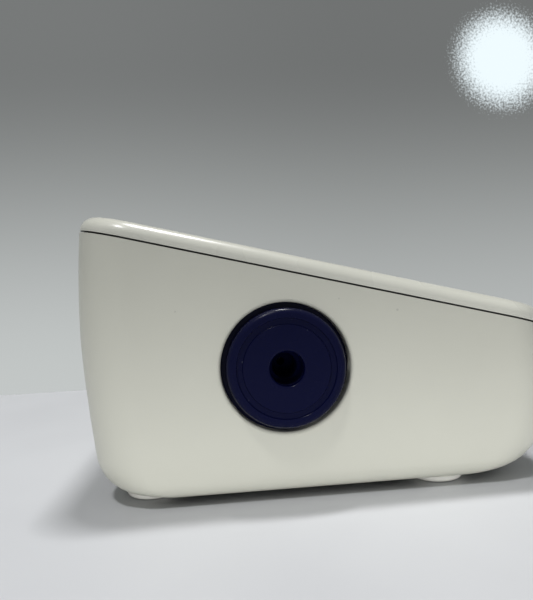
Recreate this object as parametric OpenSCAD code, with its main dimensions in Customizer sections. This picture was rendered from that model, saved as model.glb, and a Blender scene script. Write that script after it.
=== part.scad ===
// Table-top blood pressure monitor: a wedge-shaped moulded case with an air socket for
// an arm cuff in its left wall, a display and three buttons on its sloped top, and a
// pump, valve, pressure sensor and four cells inside.
// Millimetres. +Z up, front (low end) at -Y, air socket at -X, feet stand on z = 0.

/* [Case] */
// Largest width of the case
width = 140; // [136:0.5:146]
// Largest depth of the case, front to rear
depth = 105.5; // [103:0.5:112]
// Height of the seam between case and cover, at mid depth
seam_height = 46.7; // [46.2:0.1:52]
// Slope of the top
slope = 14.2; // [12:0.1:15.3]
// Wall of the lower case
wall = 2.3; // [2:0.1:2.6]
// Floor of the lower case
floor_t = 2.2; // [2:0.1:2.6]
// Radius of the upright corners, seen from above
corner_r = 12; // [9:0.5:14]
// How far the walls draw in at the seam
belly = 0.8; // [0.3:0.1:1.5]
// How far the walls draw in at the base
taper = 2.6; // [1.6:0.1:2.7]
// Edge radius along the bottom of the side walls
side_edge_r = 3.3; // [3:0.1:5]
// Edge radius along the bottom of the rear wall
rear_edge_r = 8.6; // [7:0.1:9.4]
// Edge radius along the bottom of the front wall
front_edge_r = 10.2; // [8:0.1:11]

/* [Cover] */
// Height of the cover's edge above the seam
cover_h = 3.9; // [3.6:0.1:5]
// Thickness of the cover's top plate
plate_t = 2.2; // [1.8:0.1:2.5]
// Radius of the cover's upper edge
cover_edge_r = 3; // [1.5:0.1:3.2]
// Open seam line between case and cover
seam_gap = 0.35; // [0.2:0.05:0.6]

/* [Display] */
// Width of the display window
lens_w = 90; // [84:0.5:92]
// Depth of the display window, along the slope
lens_d = 60; // [54:0.5:60.5]
// Thickness of the display window
lens_t = 1.2; // [0.8:0.1:1.5]
// Place of the window's centre, up the slope from mid depth
lens_y = 14; // [12:0.5:15]

/* [Buttons] */
// Diameter of the start and stop button
start_d = 24; // [18:0.5:25.5]
// Length of the memory button
memory_w = 22; // [16:0.5:24]
// Width of the memory button
memory_d = 10; // [8:0.5:12]
// Diameter of the clock button
clock_d = 7; // [5.5:0.5:9]
// Distance of the buttons in front of mid depth, down the slope
button_y = 33.5; // [32.5:0.5:34]
// Travel of every button
travel = 0.6; // [0.3:0.1:0.8]

/* [Air socket] */
// Diameter of the round socket face
socket_d = 25; // [22:0.2:26]
// Diameter of the round opening in the case wall
socket_hole_d = 27.8; // [27.4:0.2:28.6]
// How far the socket face stands out of the wall
socket_proud = 1.9; // [1:0.1:2.2]
// Diameter of the mouth for the cuff's air plug
mouth_d = 7.2; // [6.6:0.1:8]
// Depth of the mouth
mouth_depth = 6; // [5:0.5:7]
// Bore that seals on the air plug
port_d = 5.4; // [5:0.1:6]
// Length of that bore
port_depth = 8; // [6:0.5:8.5]
// Height of the socket's axis
socket_z = 28.6; // [28:0.1:29.4]
// Distance of the socket's axis behind mid depth
socket_y = 8.6; // [7.4:0.1:9]

/* [Feet] */
// Diameter of a foot
foot_d = 12; // [10:0.5:12.5]
// Height of the case above the table
foot_h = 1.6; // [1.4:0.1:2.4]
// Distance of the front feet from the middle, left and right
foot_front_x = 58.7; // [57:0.1:59]
// Distance of the rear feet from the middle, left and right
foot_rear_x = 55.2; // [54.8:0.1:56]

/* [Power] */
// Diameter of a cell
cell_d = 14.5; // [14:0.1:14.7]
// Length of a cell
cell_l = 50.5; // [49:0.1:51]
// Distance between the axes of two cells
cell_pitch = 15.2; // [15:0.1:15.6]
// Thickness of the battery door
door_t = 1.8; // [1.5:0.1:2]
// Bore of the power jack
jack_d = 5.6; // [5.5:0.1:6]
// Centre pin of the power jack
jack_pin_d = 2.1; // [2:0.1:2.5]

/* [Pump and valve] */
// Diameter of the pump motor
motor_d = 24; // [20:0.5:24.5]
// Length of the motor can
motor_l = 32; // [28:0.5:33]
// Bore of the air hoses
hose_bore = 3.4; // [3:0.1:3.6]
// Wall of the air hoses
hose_wall = 1.0; // [0.8:0.1:1.1]
// Travel of the valve plunger
valve_travel = 0.8; // [0.4:0.1:1]

/* [Hidden] */
$fn = 48;

// Colours
ivory = [0.86, 0.85, 0.79];
navy = [0.05, 0.06, 0.2];
dark = [0.12, 0.12, 0.13];
steel = [0.72, 0.73, 0.75];
brass = [0.8, 0.66, 0.36];
board_green = [0.1, 0.36, 0.22];
hose_clear = [0.82, 0.84, 0.84];
foot_grey = [0.8, 0.79, 0.74];

// Clearances
fit = 0.05;          // a shaft in its bore
slip = 0.1;          // pieces that are laid in
free = 0.25;         // pieces that move past each other
eps = 0.01;

// Case outline
half_w = width / 2;
half_d = depth / 2;
base_z = foot_h;
floor_z = base_z + floor_t;
belly_level = 0.38;  // where the walls stand furthest out, from seam (0) to base (1)
corner_steps = 8;
wall_levels = 16;
tongue = 1.5;        // rim of the case that stands up inside the cover
skirt = 1.0;         // cover wall outside the tongue

// Stack under the top, measured from the seam along the top's own normal
plate_under = cover_h - plate_t;
lcd_w = 84;
lcd_d = 54;
lcd_t = 2.6;
lcd_top = plate_under - slip;
lcd_low = lcd_top - lcd_t;
frame_w = lcd_w + 4;
frame_d = lcd_d + 4;
board_t = 1.6;
board_top = -5;
board_low = board_top - board_t;
board_w = 104;
board_front = 45;
board_rear = 46;
post_x = 49;
post_rear = 40;
post_front = 42;
post_r = 2.8;

// Screws
screw_r = 1.45;
screw_head_r = 2.7;
screw_head_h = 1.9;
case_screw_l = 10;
tower_r = 4;
tower_drop = 8;      // top of a tower below the seam
tower_seat = 2.5;    // wall under the screw head
well_r = 3.1;
tower_x = 59;
tower_rear = 27;
tower_front = -13;
TOWERS = [[-tower_x, tower_rear], [tower_x, tower_rear],
    [-tower_x, tower_front], [tower_x, tower_front]];
BOARD_POSTS = [[-post_x, post_rear], [post_x, post_rear],
    [-post_x, -post_front], [post_x, -post_front]];

// Feet
foot_rear = 39;
foot_front = -26.1;
foot_pocket = 0.8;
foot_round = 1.6;    // width of a foot's rounded lower edge
foot_rise = 0.95;    // height of that edge
FEET = [[-foot_front_x, foot_front], [foot_front_x, foot_front],
    [-foot_rear_x, foot_rear], [foot_rear_x, foot_rear]];

// Air socket, along x from its face
socket_face = -(half_w + socket_proud - 0.2);
socket_seat = -half_w + 4;
socket_flange_r = socket_hole_d / 2 + 1.9;
socket_flange_t = 1.6;
barrel_r = 5;
barrel_end = socket_face + mouth_depth + port_depth + 0.8;
barb_r = hose_bore / 2 - fit;
barb_l = 7;
barb_bore_r = 0.9;
hose_r = hose_bore / 2 + hose_wall;

// Battery bay
bay_x = 15;
bay_wall = 1.8;
bay_front = -16.8;
bay_rear = 40.2;
cell_r = cell_d / 2;
cell_room = 0.35;
bay_half = 1.5 * cell_pitch + cell_r + cell_room;
door_top = base_z + door_t;
door_ledge = 2;
cell_z = door_top + 0.3 + cell_r;
plate_m = 0.4;       // contact sheet metal
hinge_y = bay_rear + 1.2;
hinge_z = door_top - 0.5;
hinge_gap = 1.7;     // room behind the hinge for the door's heel
knuckle_r = 0.9;
hinge_pin_r = 0.7;
hinge_pin_l = 1.2;

// Pump
pump_x = -30;
pump_z = floor_z + 14;
motor_r = motor_d / 2;
motor_front = 10;
cushion_t = 1.2;
cushion_r = motor_r + cushion_t;
head_r = 12.8;
head_l = 24;
head_front = motor_front - head_l;
crank_r = 7;
nipple_drop = 5;
shaft_r = 1;
clamp_y = 26;
clamp_w = 12;
clamp_t = 1.4;
clamp_left = -49.5;
clamp_right = -5.5;
clamp_left_z = 18;
clamp_right_z = 22.6;

// Manifold and valve
manifold_x = -47;
manifold_z = 15;
manifold_front = -40;
manifold_rear = -20;
manifold_half = 3.5;
port_z = 14;
pump_port_y = -25;
valve_y = -34;
valve_x = -17;
valve_w = 14;
valve_d = 12;
valve_h = 15;

// Power jack
jack_x = -55;
jack_z = 14;
jack_w = 9;
jack_h = 11;
jack_l = 12;
jack_rear = half_d - wall - taper - 0.1;
jack_nose_r = 4.2;

function seam_at(y) = seam_height + y * tan(slope);
function arc_in(h, r) = h >= r ? 0 : r - sqrt(r * r - (r - h) * (r - h));
function draw_in(t) = t < belly_level
    ? belly * pow((belly_level - t) / belly_level, 2)
    : taper * pow((t - belly_level) / (1 - belly_level), 1.5);

// A rounded rectangle seen from above, which may be narrower at the front
function outline(x_rear, x_front, rear, front, r) = [
    for (q = [0:3])
        for (i = [0:corner_steps])
            let (a = q * 90 + i * 90 / corner_steps)
            let (x = q < 2 ? x_rear : x_front)
            let (cx = (q == 0 || q == 3) ? x - r : r - x)
            let (cy = q < 2 ? rear - r : r - front)
            [cx + r * cos(a), cy + r * sin(a)]
];

// A ring of the walls: t runs from the seam (0) to the underside (1), and close to the
// underside each wall follows its own edge radius
function wall_ring(t, inset) =
    let (low = base_z + (inset > 0 ? floor_t : 0))
    let (h_rear = (1 - t) * (seam_at(half_d) - low), h_front = (1 - t) * (seam_at(-half_d) - low))
    let (in = draw_in(t) + inset, side_r = side_edge_r - inset)
    [for (p = outline(half_w - in - arc_in(h_rear, side_r), half_w - in - arc_in(h_front, side_r),
            half_d - in - arc_in(h_rear, rear_edge_r - inset),
            half_d - in - arc_in(h_front, front_edge_r - inset), corner_r - inset))
        [p.x, p.y, seam_at(p.y) * (1 - t) + low * t]
];

// A ring above the seam, at height v along the top's normal
function deck_ring(v, inset) = [
    for (p = outline(half_w - belly - inset, half_w - belly - inset, half_d - belly - inset,
            half_d - belly - inset, corner_r - inset))
        [p.x, p.y - v * sin(slope), seam_at(p.y) + v * cos(slope)]
];

function case_rings(inset) = [for (k = [0:wall_levels]) wall_ring(1 - pow(k / wall_levels, 2), inset)];

// A closed skin over rings of equal length, lowest ring first
module skin(rings) {
    n = len(rings[0]);
    sides = [for (k = [0:len(rings) - 2]) for (i = [0:n - 1])
        let (a = k * n + i, b = k * n + (i + 1) % n)
        each [[a, a + n, b], [b, a + n, b + n]]];
    top = [[for (i = [n - 1:-1:0]) (len(rings) - 1) * n + i]];
    polyhedron([for (ring = rings) each ring], concat([[for (i = [0:n - 1]) i]], sides, top));
}

// Places children in the sloped frame of the top: z = 0 is the seam
module on_deck() translate([0, 0, seam_height]) rotate([slope, 0, 0]) children();

module rounded(w, d, r) {
    square([w - 2 * r, d], center = true);
    square([w, d - 2 * r], center = true);
    for (x = [r - w / 2, w / 2 - r])
        for (y = [r - d / 2, d / 2 - r])
            translate([x, y]) circle(r);
}

module slab(w, d, r, low, high) translate([0, 0, low]) linear_extrude(high - low) rounded(w, d, r);

module rod(r, low, high) translate([0, 0, low]) cylinder(r = r, h = high - low);

// A flat piece with round ends
module pill(w, d, low, high) translate([0, 0, low]) linear_extrude(high - low) {
    square([w - d, d], center = true);
    for (x = [d - w, w - d]) translate([x / 2, 0]) circle(d / 2);
}

// A cylinder along +x, and one along +y, from one coordinate to another
module rod_x(r, from, to) translate([from, 0, 0]) rotate([0, 90, 0]) cylinder(r = r, h = to - from);

module rod_y(r, from, to) translate([0, from, 0]) rotate([-90, 0, 0]) cylinder(r = r, h = to - from);

module block(low, high) translate(low) cube(high - low);

module lower_case() color(ivory) difference() {
    union() {
        difference() {
            union() {
                skin(case_rings(0));
                skin([deck_ring(-1, skirt + slip), deck_ring(tongue, skirt + slip)]);
            }
            difference() {
                skin(concat(case_rings(wall), [deck_ring(3, wall)]));
                case_fittings();
            }
        }
        // round seats that carry the feet past the curved lower edge
        for (p = FEET) translate([p.x, p.y, 0]) rod(foot_d / 2 + 0.7, base_z + 0.05, floor_z + 1.5);
    }
    case_openings();
}

// What stands on the inside of the case
module case_fittings() {
    for (p = TOWERS) translate([p.x, p.y, 0]) rod(tower_r, base_z, seam_at(p.y) - tower_drop);
    // flat seat for the air socket's flange, and the fork that traps it
    translate([0, socket_y, socket_z]) rod_x(socket_flange_r + 1, -half_w, socket_seat);
    block([socket_seat + socket_flange_t + slip, socket_y - 11, base_z],
        [socket_seat + socket_flange_t + slip + 1.8, socket_y + 11, socket_z]);
    // battery bay, scalloped over the cells, with a thick frame round the door
    bay_body(bay_wall, base_z);
    block([bay_x - bay_half - door_ledge - hinge_pin_l - 1, bay_front - door_ledge - 1.6, base_z],
        [bay_x + bay_half + door_ledge + hinge_pin_l + 1, half_d, door_top + 2]);
    block([clamp_right - 4, clamp_y - 5, cell_z], [clamp_right + 4, clamp_y + 5, clamp_right_z]);
    // cradles of the motor and of the pump head
    for (y = [clamp_y - 2, 14])
        block([pump_x - 14, y, base_z], [pump_x + 14, y + 3, pump_z - 6]);
    block([pump_x - 14, head_front + 6, base_z], [pump_x + 14, head_front + 9, pump_z - 6]);
    translate([clamp_left, clamp_y, 0]) rod(3.2, base_z, clamp_left_z);
    // pockets of the valve, the manifold and the power jack
    for (x = [valve_x - valve_w / 2 - 1.7, valve_x + valve_w / 2 + 0.1])
        block([x, valve_y - 6, base_z], [x + 1.6, valve_y + 6, floor_z + 6]);
    for (y = [pump_port_y - 5.8, pump_port_y + 3])
        block([manifold_x - 6, y, base_z], [manifold_x + 6, y + 1.7, manifold_z]);
    for (x = [jack_x - jack_w / 2 - 1.7, jack_x + jack_w / 2 + 0.1])
        block([x, jack_rear - jack_l - 1, base_z], [x + 1.6, half_d, jack_z + 4]);
    block([jack_x - 3, jack_rear - jack_l - 1.7, base_z], [jack_x + 3, jack_rear - jack_l - 0.1, jack_z + 3]);
    // stiffening ribs across the front of the floor
    for (x = [4, 22, 40]) block([x, -46, base_z], [x + 1.4, bay_front - bay_wall, floor_z + 3]);
}

module bay_body(grow, low) {
    block([bay_x - bay_half - grow, bay_front - grow, low], [bay_x + bay_half + grow, bay_rear + grow, cell_z]);
    for (i = [-1.5:1:1.5])
        translate([bay_x + i * cell_pitch, 0, cell_z])
            rod_y(cell_r + cell_room + grow, bay_front - grow, bay_rear + grow);
}

module case_openings() {
    for (p = TOWERS) translate([p.x, p.y, 0]) {
        rod(well_r, 0, seam_at(p.y) - tower_drop - tower_seat);
        rod(screw_r + 0.2, base_z, seam_at(p.y));
    }
    translate([0, socket_y, socket_z]) {
        rod_x(socket_hole_d / 2, -half_w - 1, socket_seat + eps);
        rod_x(barrel_r + slip, socket_seat + socket_flange_t, -half_w + 12);
    }
    bay_body(0, door_top + eps);
    // door recess with a ledge on three sides, and the door's hinge sockets
    block([bay_x - bay_half - door_ledge, bay_front - door_ledge, 0],
        [bay_x + bay_half + door_ledge, hinge_y + hinge_gap, door_top + slip]);
    translate([bay_x, hinge_y, hinge_z]) {
        rod_x(knuckle_r + free, -bay_half - door_ledge, bay_half + door_ledge);
        rod_x(hinge_pin_r + fit, -bay_half - door_ledge - hinge_pin_l, bay_half + door_ledge + hinge_pin_l);
    }
    // finger notch at the latch
    block([bay_x - 9, bay_front - door_ledge - 5, 0], [bay_x + 9, bay_front, base_z + 1.4]);
    translate([pump_x, 0, pump_z]) rod_y(cushion_r + fit, motor_front + 2, motor_front + motor_l + 1);
    translate([pump_x, 0, pump_z]) rod_y(head_r + fit, head_front, motor_front);
    translate([clamp_left, clamp_y, 0]) rod(screw_r - 0.25, floor_z + 4, clamp_left_z + 1);
    translate([clamp_right, clamp_y, 0]) rod(screw_r - 0.25, clamp_right_z - 2.2, clamp_right_z + 1);
    block([manifold_x - manifold_half, manifold_front, manifold_z - manifold_half],
        [manifold_x + manifold_half, manifold_rear, manifold_z + 9]);
    translate([jack_x, 0, jack_z]) rod_y(jack_nose_r + slip, jack_rear - 1, half_d + 2);
    for (p = FEET) translate([p.x, p.y, 0]) rod(foot_d / 2 + slip, 0, base_z + foot_pocket);
}

module top_cover() color(ivory) difference() {
    union() {
        difference() {
            skin(cover_rings());
            skin([deck_ring(-2, skirt), deck_ring(tongue, skirt)]);
            skin([deck_ring(tongue - 1, wall), deck_ring(plate_under, wall)]);
        }
        difference() {
            for (p = TOWERS)
                translate([p.x, p.y, 0]) rod(tower_r - 0.2, seam_at(p.y) - tower_drop, seam_at(p.y) + 9);
            on_deck() block([-100, -100, plate_under + 0.6], [100, 100, 40]);
        }
        // rib that holds the socket's flange down
        difference() {
            block([socket_seat + 0.1, socket_y - 6, socket_z + socket_flange_r + slip],
                [socket_seat + 1.5, socket_y + 6, seam_at(socket_y) + 6]);
            on_deck() block([-100, -100, plate_under + 0.5], [100, 100, 40]);
        }
        on_deck() {
            for (p = BOARD_POSTS) translate(p) rod(post_r, board_top, plate_under + 0.6);
            button_place(start_x) rod(start_d / 2 + guide_t, guide_low, plate_under + 0.6);
            button_place(clock_x) rod(clock_d / 2 + guide_t, guide_low, plate_under + 0.6);
            button_place(memory_x) pill(memory_w + 2 * guide_t, memory_d + 2 * guide_t, guide_low, plate_under + 0.6);
            for (x = [-25, 25]) translate([x, 0, 0]) front_hook();
        }
    }
    for (p = TOWERS) translate([p.x, p.y, 0])
        rod(screw_r + fit, seam_at(p.y) - tower_drop - 1, seam_at(p.y) - tower_drop + case_screw_l - 1.5);
    on_deck() {
        translate([0, lens_y, 0]) {
            slab(lens_w + 2 * slip, lens_d + 2 * slip, 5, cover_h - lens_t, cover_h + 1);
            slab(lcd_w - 4, lcd_d - 4, 2, 0, cover_h + 1);
        }
        button_place(start_x) rod(start_d / 2 + free, -8, cover_h + 1);
        button_place(clock_x) rod(clock_d / 2 + free, -8, cover_h + 1);
        button_place(memory_x) pill(memory_w + 2 * free, memory_d + 2 * free, -8, cover_h + 1);
        for (p = BOARD_POSTS) translate(p) rod(1.05, board_top - 1, 0.5);
    }
}

start_x = 34;
memory_x = -34;
clock_x = 0;
guide_low = plate_under - 1.2;
guide_t = free + 1.2;

function cover_rings() = concat([deck_ring(seam_gap, 0)],
    [for (i = [0:5]) let (a = i * 18)
        deck_ring(cover_h - cover_edge_r * (1 - sin(a)), cover_edge_r * (1 - cos(a)))]);

module button_place(x) translate([x, -button_y, 0]) children();

// Hook of the cover that grips behind the front wall of the case
module front_hook() {
    front = half_d / cos(slope) - belly - wall;
    block([-5, -front + 0.3, -5], [5, -front + 1.8, plate_under + 0.5]);
}

module display_lens() color([0.2, 0.22, 0.24, 0.5]) on_deck()
    translate([0, lens_y, 0]) slab(lens_w, lens_d, 4.9, cover_h - lens_t, cover_h);

module lcd_panel() color([0.62, 0.66, 0.58]) on_deck() translate([0, lens_y, 0]) {
    slab(lcd_w, lcd_d, 0.8, lcd_low, lcd_low + lcd_t / 2);
    slab(lcd_w, lcd_d - 6, 0.8, lcd_low + lcd_t / 2 - eps, lcd_top);
}

module lcd_frame() color("whitesmoke") on_deck() translate([0, lens_y, 0]) difference() {
    slab(frame_w, frame_d, 1.5, board_top, lcd_low + 1.2);
    slab(lcd_w + 2 * slip, lcd_d + 2 * slip, 0.8, lcd_low, lcd_top + 1);
    slab(lcd_w - 6, lcd_d - 14, 1, board_top - 1, lcd_top);
    for (y = [-zebra_y, zebra_y]) translate([0, y, 0])
        slab(zebra_w + 2 * slip, 2 + 2 * slip, 0.5, board_top - 1, lcd_top);
}

zebra_y = lcd_d / 2 - 2.2;
zebra_w = 72;

module zebra_strips() color("gray") on_deck() translate([0, lens_y, 0])
    for (y = [-zebra_y, zebra_y]) translate([0, y, 0]) slab(zebra_w, 2, 0.4, board_top, lcd_low);

module main_board() color(board_green) on_deck() difference() {
    translate([0, (board_rear - board_front) / 2, 0])
        slab(board_w, board_rear + board_front, 2, board_low, board_top);
    for (p = BOARD_POSTS) translate(p) rod(1.35, board_low - 1, board_top + 1);
}

module board_chips() color(dark) on_deck() {
    translate([6, 2, 0]) slab(14, 14, 0.6, board_low - 1.6, board_low);
    translate([28, 8, 0]) slab(6, 5, 0.4, board_low - 1.4, board_low);
    translate([-14, -2, 0]) slab(7, 10, 0.4, board_low - 1.5, board_low);
    for (x = [-6:4:14]) translate([x, 22, 0]) slab(2, 1.2, 0.2, board_low - 0.7, board_low);
    translate([38, -12, 0]) rod(3, board_low - 5, board_low);
}

PLUGS = [[-40, 8], [12, -26], [-43, 34]];

module board_connectors() color("ivory") on_deck()
    for (p = PLUGS) translate([p.x, p.y, 0])
        slab(10, 5.5, 0.5, board_low - 6, board_low);

cap_rise = 0.9;
cap_flange_top = guide_low - 0.1;
cap_flange_t = 1.0;
plunger_r = 1.7;
plunger_out = 1.1;   // length of a plunger above its switch
plunger_top = cap_flange_top - cap_flange_t - 0.9;
switch_top = plunger_top - plunger_out;

module tact_switches() color(dark) on_deck() for (x = [start_x, memory_x, clock_x]) button_place(x)
    difference() {
        slab(6, 6, 0.3, board_top, switch_top);
        rod(plunger_r + fit, switch_top - 1.6, switch_top + 1);
    }

module plunger_at(x) color("white") on_deck() button_place(x)
    rod(plunger_r, switch_top - 1.6 + travel + 0.1, plunger_top);

module start_plunger() plunger_at(start_x);
module memory_plunger() plunger_at(memory_x);
module clock_plunger() plunger_at(clock_x);

module start_button() color(navy) on_deck() button_place(start_x) union() {
    rotate_extrude() polygon(concat([[0, cap_flange_top - cap_flange_t]],
        [[start_d / 2 + 1.2, cap_flange_top - cap_flange_t], [start_d / 2 + 1.2, cap_flange_top],
            [start_d / 2, cap_flange_top]],
        [for (a = [0:15:90]) [start_d / 2 - 1 + cos(a), cover_h + cap_rise - 1 + sin(a)]],
        [for (k = [3:-1:0]) [start_d / 8 * k, cover_h + cap_rise - 0.8 * (1 - pow(k / 4, 2))]]));
    rod(2.2, plunger_top, cap_flange_top);
}

module clock_button() color([0.72, 0.72, 0.7]) on_deck() button_place(clock_x) {
    rod(clock_d / 2, cap_flange_top - eps, cover_h + cap_rise - 0.5);
    translate([0, 0, cover_h + cap_rise - 0.5]) cylinder(r1 = clock_d / 2, r2 = clock_d / 2 - 0.5, h = 0.5);
    rod(clock_d / 2 + 1.2, cap_flange_top - cap_flange_t, cap_flange_top);
    rod(2.2, plunger_top, cap_flange_top);
}

module memory_button() color([0.72, 0.72, 0.7]) on_deck() button_place(memory_x) {
    pill(memory_w, memory_d, cap_flange_top - eps, cover_h + cap_rise - 0.5);
    pill(memory_w - 1, memory_d - 1, cover_h + cap_rise - 0.5 - eps, cover_h + cap_rise);
    pill(memory_w + 2.4, memory_d + 2.4, cap_flange_top - cap_flange_t, cap_flange_top);
    rod(2.2, plunger_top, cap_flange_top);
}

module buzzer() color(dark) on_deck() translate([34, -34, 0]) difference() {
    rod(6, board_low - 5, board_low);
    rod(1.2, board_low - 6, board_low - 4);
}

sensor_y = -30;
sensor_port_y = sensor_y * cos(slope) - (board_low - 7) * sin(slope);

module pressure_sensor() color([0.2, 0.2, 0.22]) on_deck() translate([manifold_x, sensor_y, 0]) {
    slab(8, 8, 0.5, board_low - 3.6, board_low);
    rod(barb_r, board_low - 7, board_low - 3.6);
}

// Socket of the air plug: one turned form along x, from its face inwards
module air_socket() color(navy) translate([socket_face, socket_y, socket_z]) rotate([0, 90, 0])
    rotate_extrude() polygon(concat(
        [[barb_bore_r, barrel_end - socket_face + barb_l], [barb_bore_r, mouth_depth + port_depth],
            [port_d / 2, mouth_depth + port_depth], [port_d / 2, mouth_depth], [mouth_d / 2, mouth_depth]],
        [for (a = [0:30:90]) [mouth_d / 2 + 0.4 - 0.4 * cos(a), 0.4 - 0.4 * sin(a)]],
        [[9.2, 0], [9.4, 0.45], [10.2, 0.45], [10.4, 0]],
        [for (a = [90:-15:0]) [socket_d / 2 - 1.4 + 1.4 * cos(a), 1.4 - 1.4 * sin(a)]],
        [[socket_d / 2, socket_seat - socket_face], [socket_flange_r, socket_seat - socket_face],
            [socket_flange_r, socket_seat - socket_face + socket_flange_t],
            [barrel_r, socket_seat - socket_face + socket_flange_t], [barrel_r, barrel_end - socket_face],
            [barb_r, barrel_end - socket_face], [barb_r, barrel_end - socket_face + barb_l]]));

// Points of a smooth curve through waypoints (Catmull-Rom), n steps a span
function spline(w, n) = concat([for (i = [1:len(w) - 3]) for (s = [0:n - 1])
    let (t = s / n, a = w[i - 1], b = w[i], c = w[i + 1], d = w[i + 2])
    0.5 * ((2 * b) + (c - a) * t + (2 * a - 5 * b + 4 * c - d) * t * t
        + (3 * b - a - 3 * c + d) * t * t * t)], [w[len(w) - 2]]);
function unit(v) = v / norm(v);
function heading(p, i) = unit(p[min(i + 1, len(p) - 1)] - p[max(i - 1, 0)]);
// Side vectors carried along the curve without twist
function carry(p, i, side, out) = i == len(p) ? out :
    let (h = heading(p, i), s = unit(side - (side * h) * h)) carry(p, i + 1, s, concat(out, [s]));
function loop_at(p, i, side, r, n) = let (h = heading(p, i), up = cross(h, side))
    [for (k = [0:n - 1]) p[i] + r * (cos(k * 360 / n) * side + sin(k * 360 / n) * up)];

// A round tube along points; with a bore it is an open hose, without one a solid wire
module tube(p, side, outer, bore, n) {
    s = carry(p, 0, side, []);
    m = len(p);
    out = [for (i = [0:m - 1]) each loop_at(p, i, s[i], outer, n)];
    in = bore > 0 ? [for (i = [0:m - 1]) each loop_at(p, i, s[i], bore, n)] : [];
    o = m * n;
    walls = [for (i = [0:m - 2]) for (k = [0:n - 1]) let (a = i * n + k, b = i * n + (k + 1) % n)
        each concat([[a, b, a + n], [b, b + n, a + n]],
            bore > 0 ? [[o + a, o + a + n, o + b], [o + b, o + a + n, o + b + n]] : [])];
    ends = bore > 0
        ? [for (k = [0:n - 1]) let (j = (k + 1) % n, e = (m - 1) * n)
            each [[k, o + k, j], [j, o + k, o + j],
                [e + k, e + j, o + e + k], [e + j, o + e + j, o + e + k]]]
        : [[for (k = [n - 1:-1:0]) k], [for (k = [0:n - 1]) (m - 1) * n + k]];
    polyhedron(concat(out, in), [for (f = concat(walls, ends)) [for (k = [len(f) - 1:-1:0]) f[k]]]);
}

module hose(waypoints, side, steps) color(hose_clear)
    tube(spline(waypoints, steps), side, hose_r, hose_bore / 2 / cos(18), 10);

module socket_hose() hose([[-62, socket_y, socket_z], [barrel_end + 0.5, socket_y, socket_z],
    [barrel_end + 4, socket_y, socket_z], [barrel_end + 7.2, socket_y, socket_z],
    [barrel_end + 9.9, socket_y - 1.6, socket_z - 0.5], [-46.2, 1, 27], [manifold_x, -5, 22], [manifold_x, -12, 16.5],
    [manifold_x, manifold_rear + 5.5, manifold_z], [manifold_x, manifold_rear + 0.2, manifold_z],
    [manifold_x, manifold_rear - 6, manifold_z]], [0, 0, 1], 3);

module pump_hose() hose([[pump_x, head_front + 6, port_z], [pump_x, head_front - 0.3, port_z],
    [pump_x, head_front - 5.5, port_z], [pump_x - 2, pump_port_y + 1.6, port_z],
    [pump_x - 6.5, pump_port_y, port_z], [manifold_x + manifold_half + 0.2, pump_port_y, port_z],
    [manifold_x, pump_port_y, port_z]], [0, 0, 1], 4);

module valve_hose() color(hose_clear) translate([0, valve_y, port_z]) difference() {
    rod_x(hose_r, manifold_x + manifold_half + 0.2, valve_x - valve_w / 2 - 2);
    rod_x(hose_bore / 2, manifold_x, valve_x);
}

deck_up = [0, -sin(slope), cos(slope)];
sensor_pt = [manifold_x, sensor_y * cos(slope) - (board_low - 3.8) * sin(slope),
    seam_height + sensor_y * sin(slope) + (board_low - 3.8) * cos(slope)];

module sensor_hose() hose([[manifold_x, sensor_port_y, manifold_z - 4],
    [manifold_x, sensor_port_y, manifold_z + manifold_half + 0.2],
    [manifold_x, sensor_port_y, manifold_z + manifold_half + 2],
    [manifold_x, sensor_port_y, manifold_z + manifold_half + 3.8],
    sensor_pt - 3.5 * deck_up, sensor_pt - 1.8 * deck_up, sensor_pt, sensor_pt + 2 * deck_up], [1, 0, 0], 2);

module manifold() color([0.9, 0.9, 0.88]) difference() {
    union() {
        block([manifold_x - manifold_half + slip, manifold_front + slip, manifold_z - manifold_half],
            [manifold_x + manifold_half - slip, manifold_rear - slip, manifold_z + manifold_half]);
        translate([manifold_x, 0, manifold_z]) rod_y(barb_r, manifold_rear - 1, manifold_rear + 5);
        for (y = [pump_port_y, valve_y])
            translate([manifold_x, y, port_z]) rod_x(barb_r, manifold_half - 1, manifold_half + 5);
        translate([manifold_x, sensor_port_y, manifold_z]) rod(barb_r, manifold_half - 1, manifold_half + 3.5);
    }
    translate([manifold_x, 0, manifold_z]) rod_y(barb_bore_r, manifold_front + 3, manifold_rear + 6);
    for (y = [pump_port_y, valve_y])
        translate([manifold_x, y, port_z]) rod_x(barb_bore_r, 0, manifold_half + 6);
    translate([manifold_x, sensor_port_y, manifold_z]) rod(barb_bore_r, 0, manifold_half + 6);
}

module pump_motor() color(steel) translate([pump_x, 0, pump_z]) difference() {
    union() {
        rod_y(motor_r, motor_front, motor_front + motor_l);
        rod_y(4.5, motor_front + motor_l - eps, motor_front + motor_l + 2);
    }
    rod_y(motor_r - 1.2, motor_front + 1.5, motor_front + motor_l - 2);
    rod_y(shaft_r + fit, motor_front - 1, motor_front + motor_l + 1);
}

module motor_rotor() color(brass) translate([pump_x, 0, pump_z]) {
    rod_y(shaft_r, head_front + 11.5, motor_front + motor_l + 0.6);
    rod_y(motor_r - 3, motor_front + 4, motor_front + motor_l - 6);
    rod_y(crank_r, head_front + 14, motor_front - 4);
    translate([3.2, 0, 0]) rod_y(1.2, head_front + 12, head_front + 14.5);
}

module pump_head() color([0.85, 0.85, 0.83]) translate([pump_x, 0, pump_z]) difference() {
    union() {
        rod_y(head_r, head_front, motor_front);
        translate([0, 0, port_z - pump_z]) rod_y(barb_r, head_front - 5.5, head_front + 1);
    }
    rod_y(head_r - 2.4, head_front + 11, motor_front - 1.6);
    rod_y(3.4, motor_front - 2, motor_front + 1);
    translate([0, 0, port_z - pump_z]) rod_y(barb_bore_r, head_front - 6, head_front + 6);
}

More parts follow.
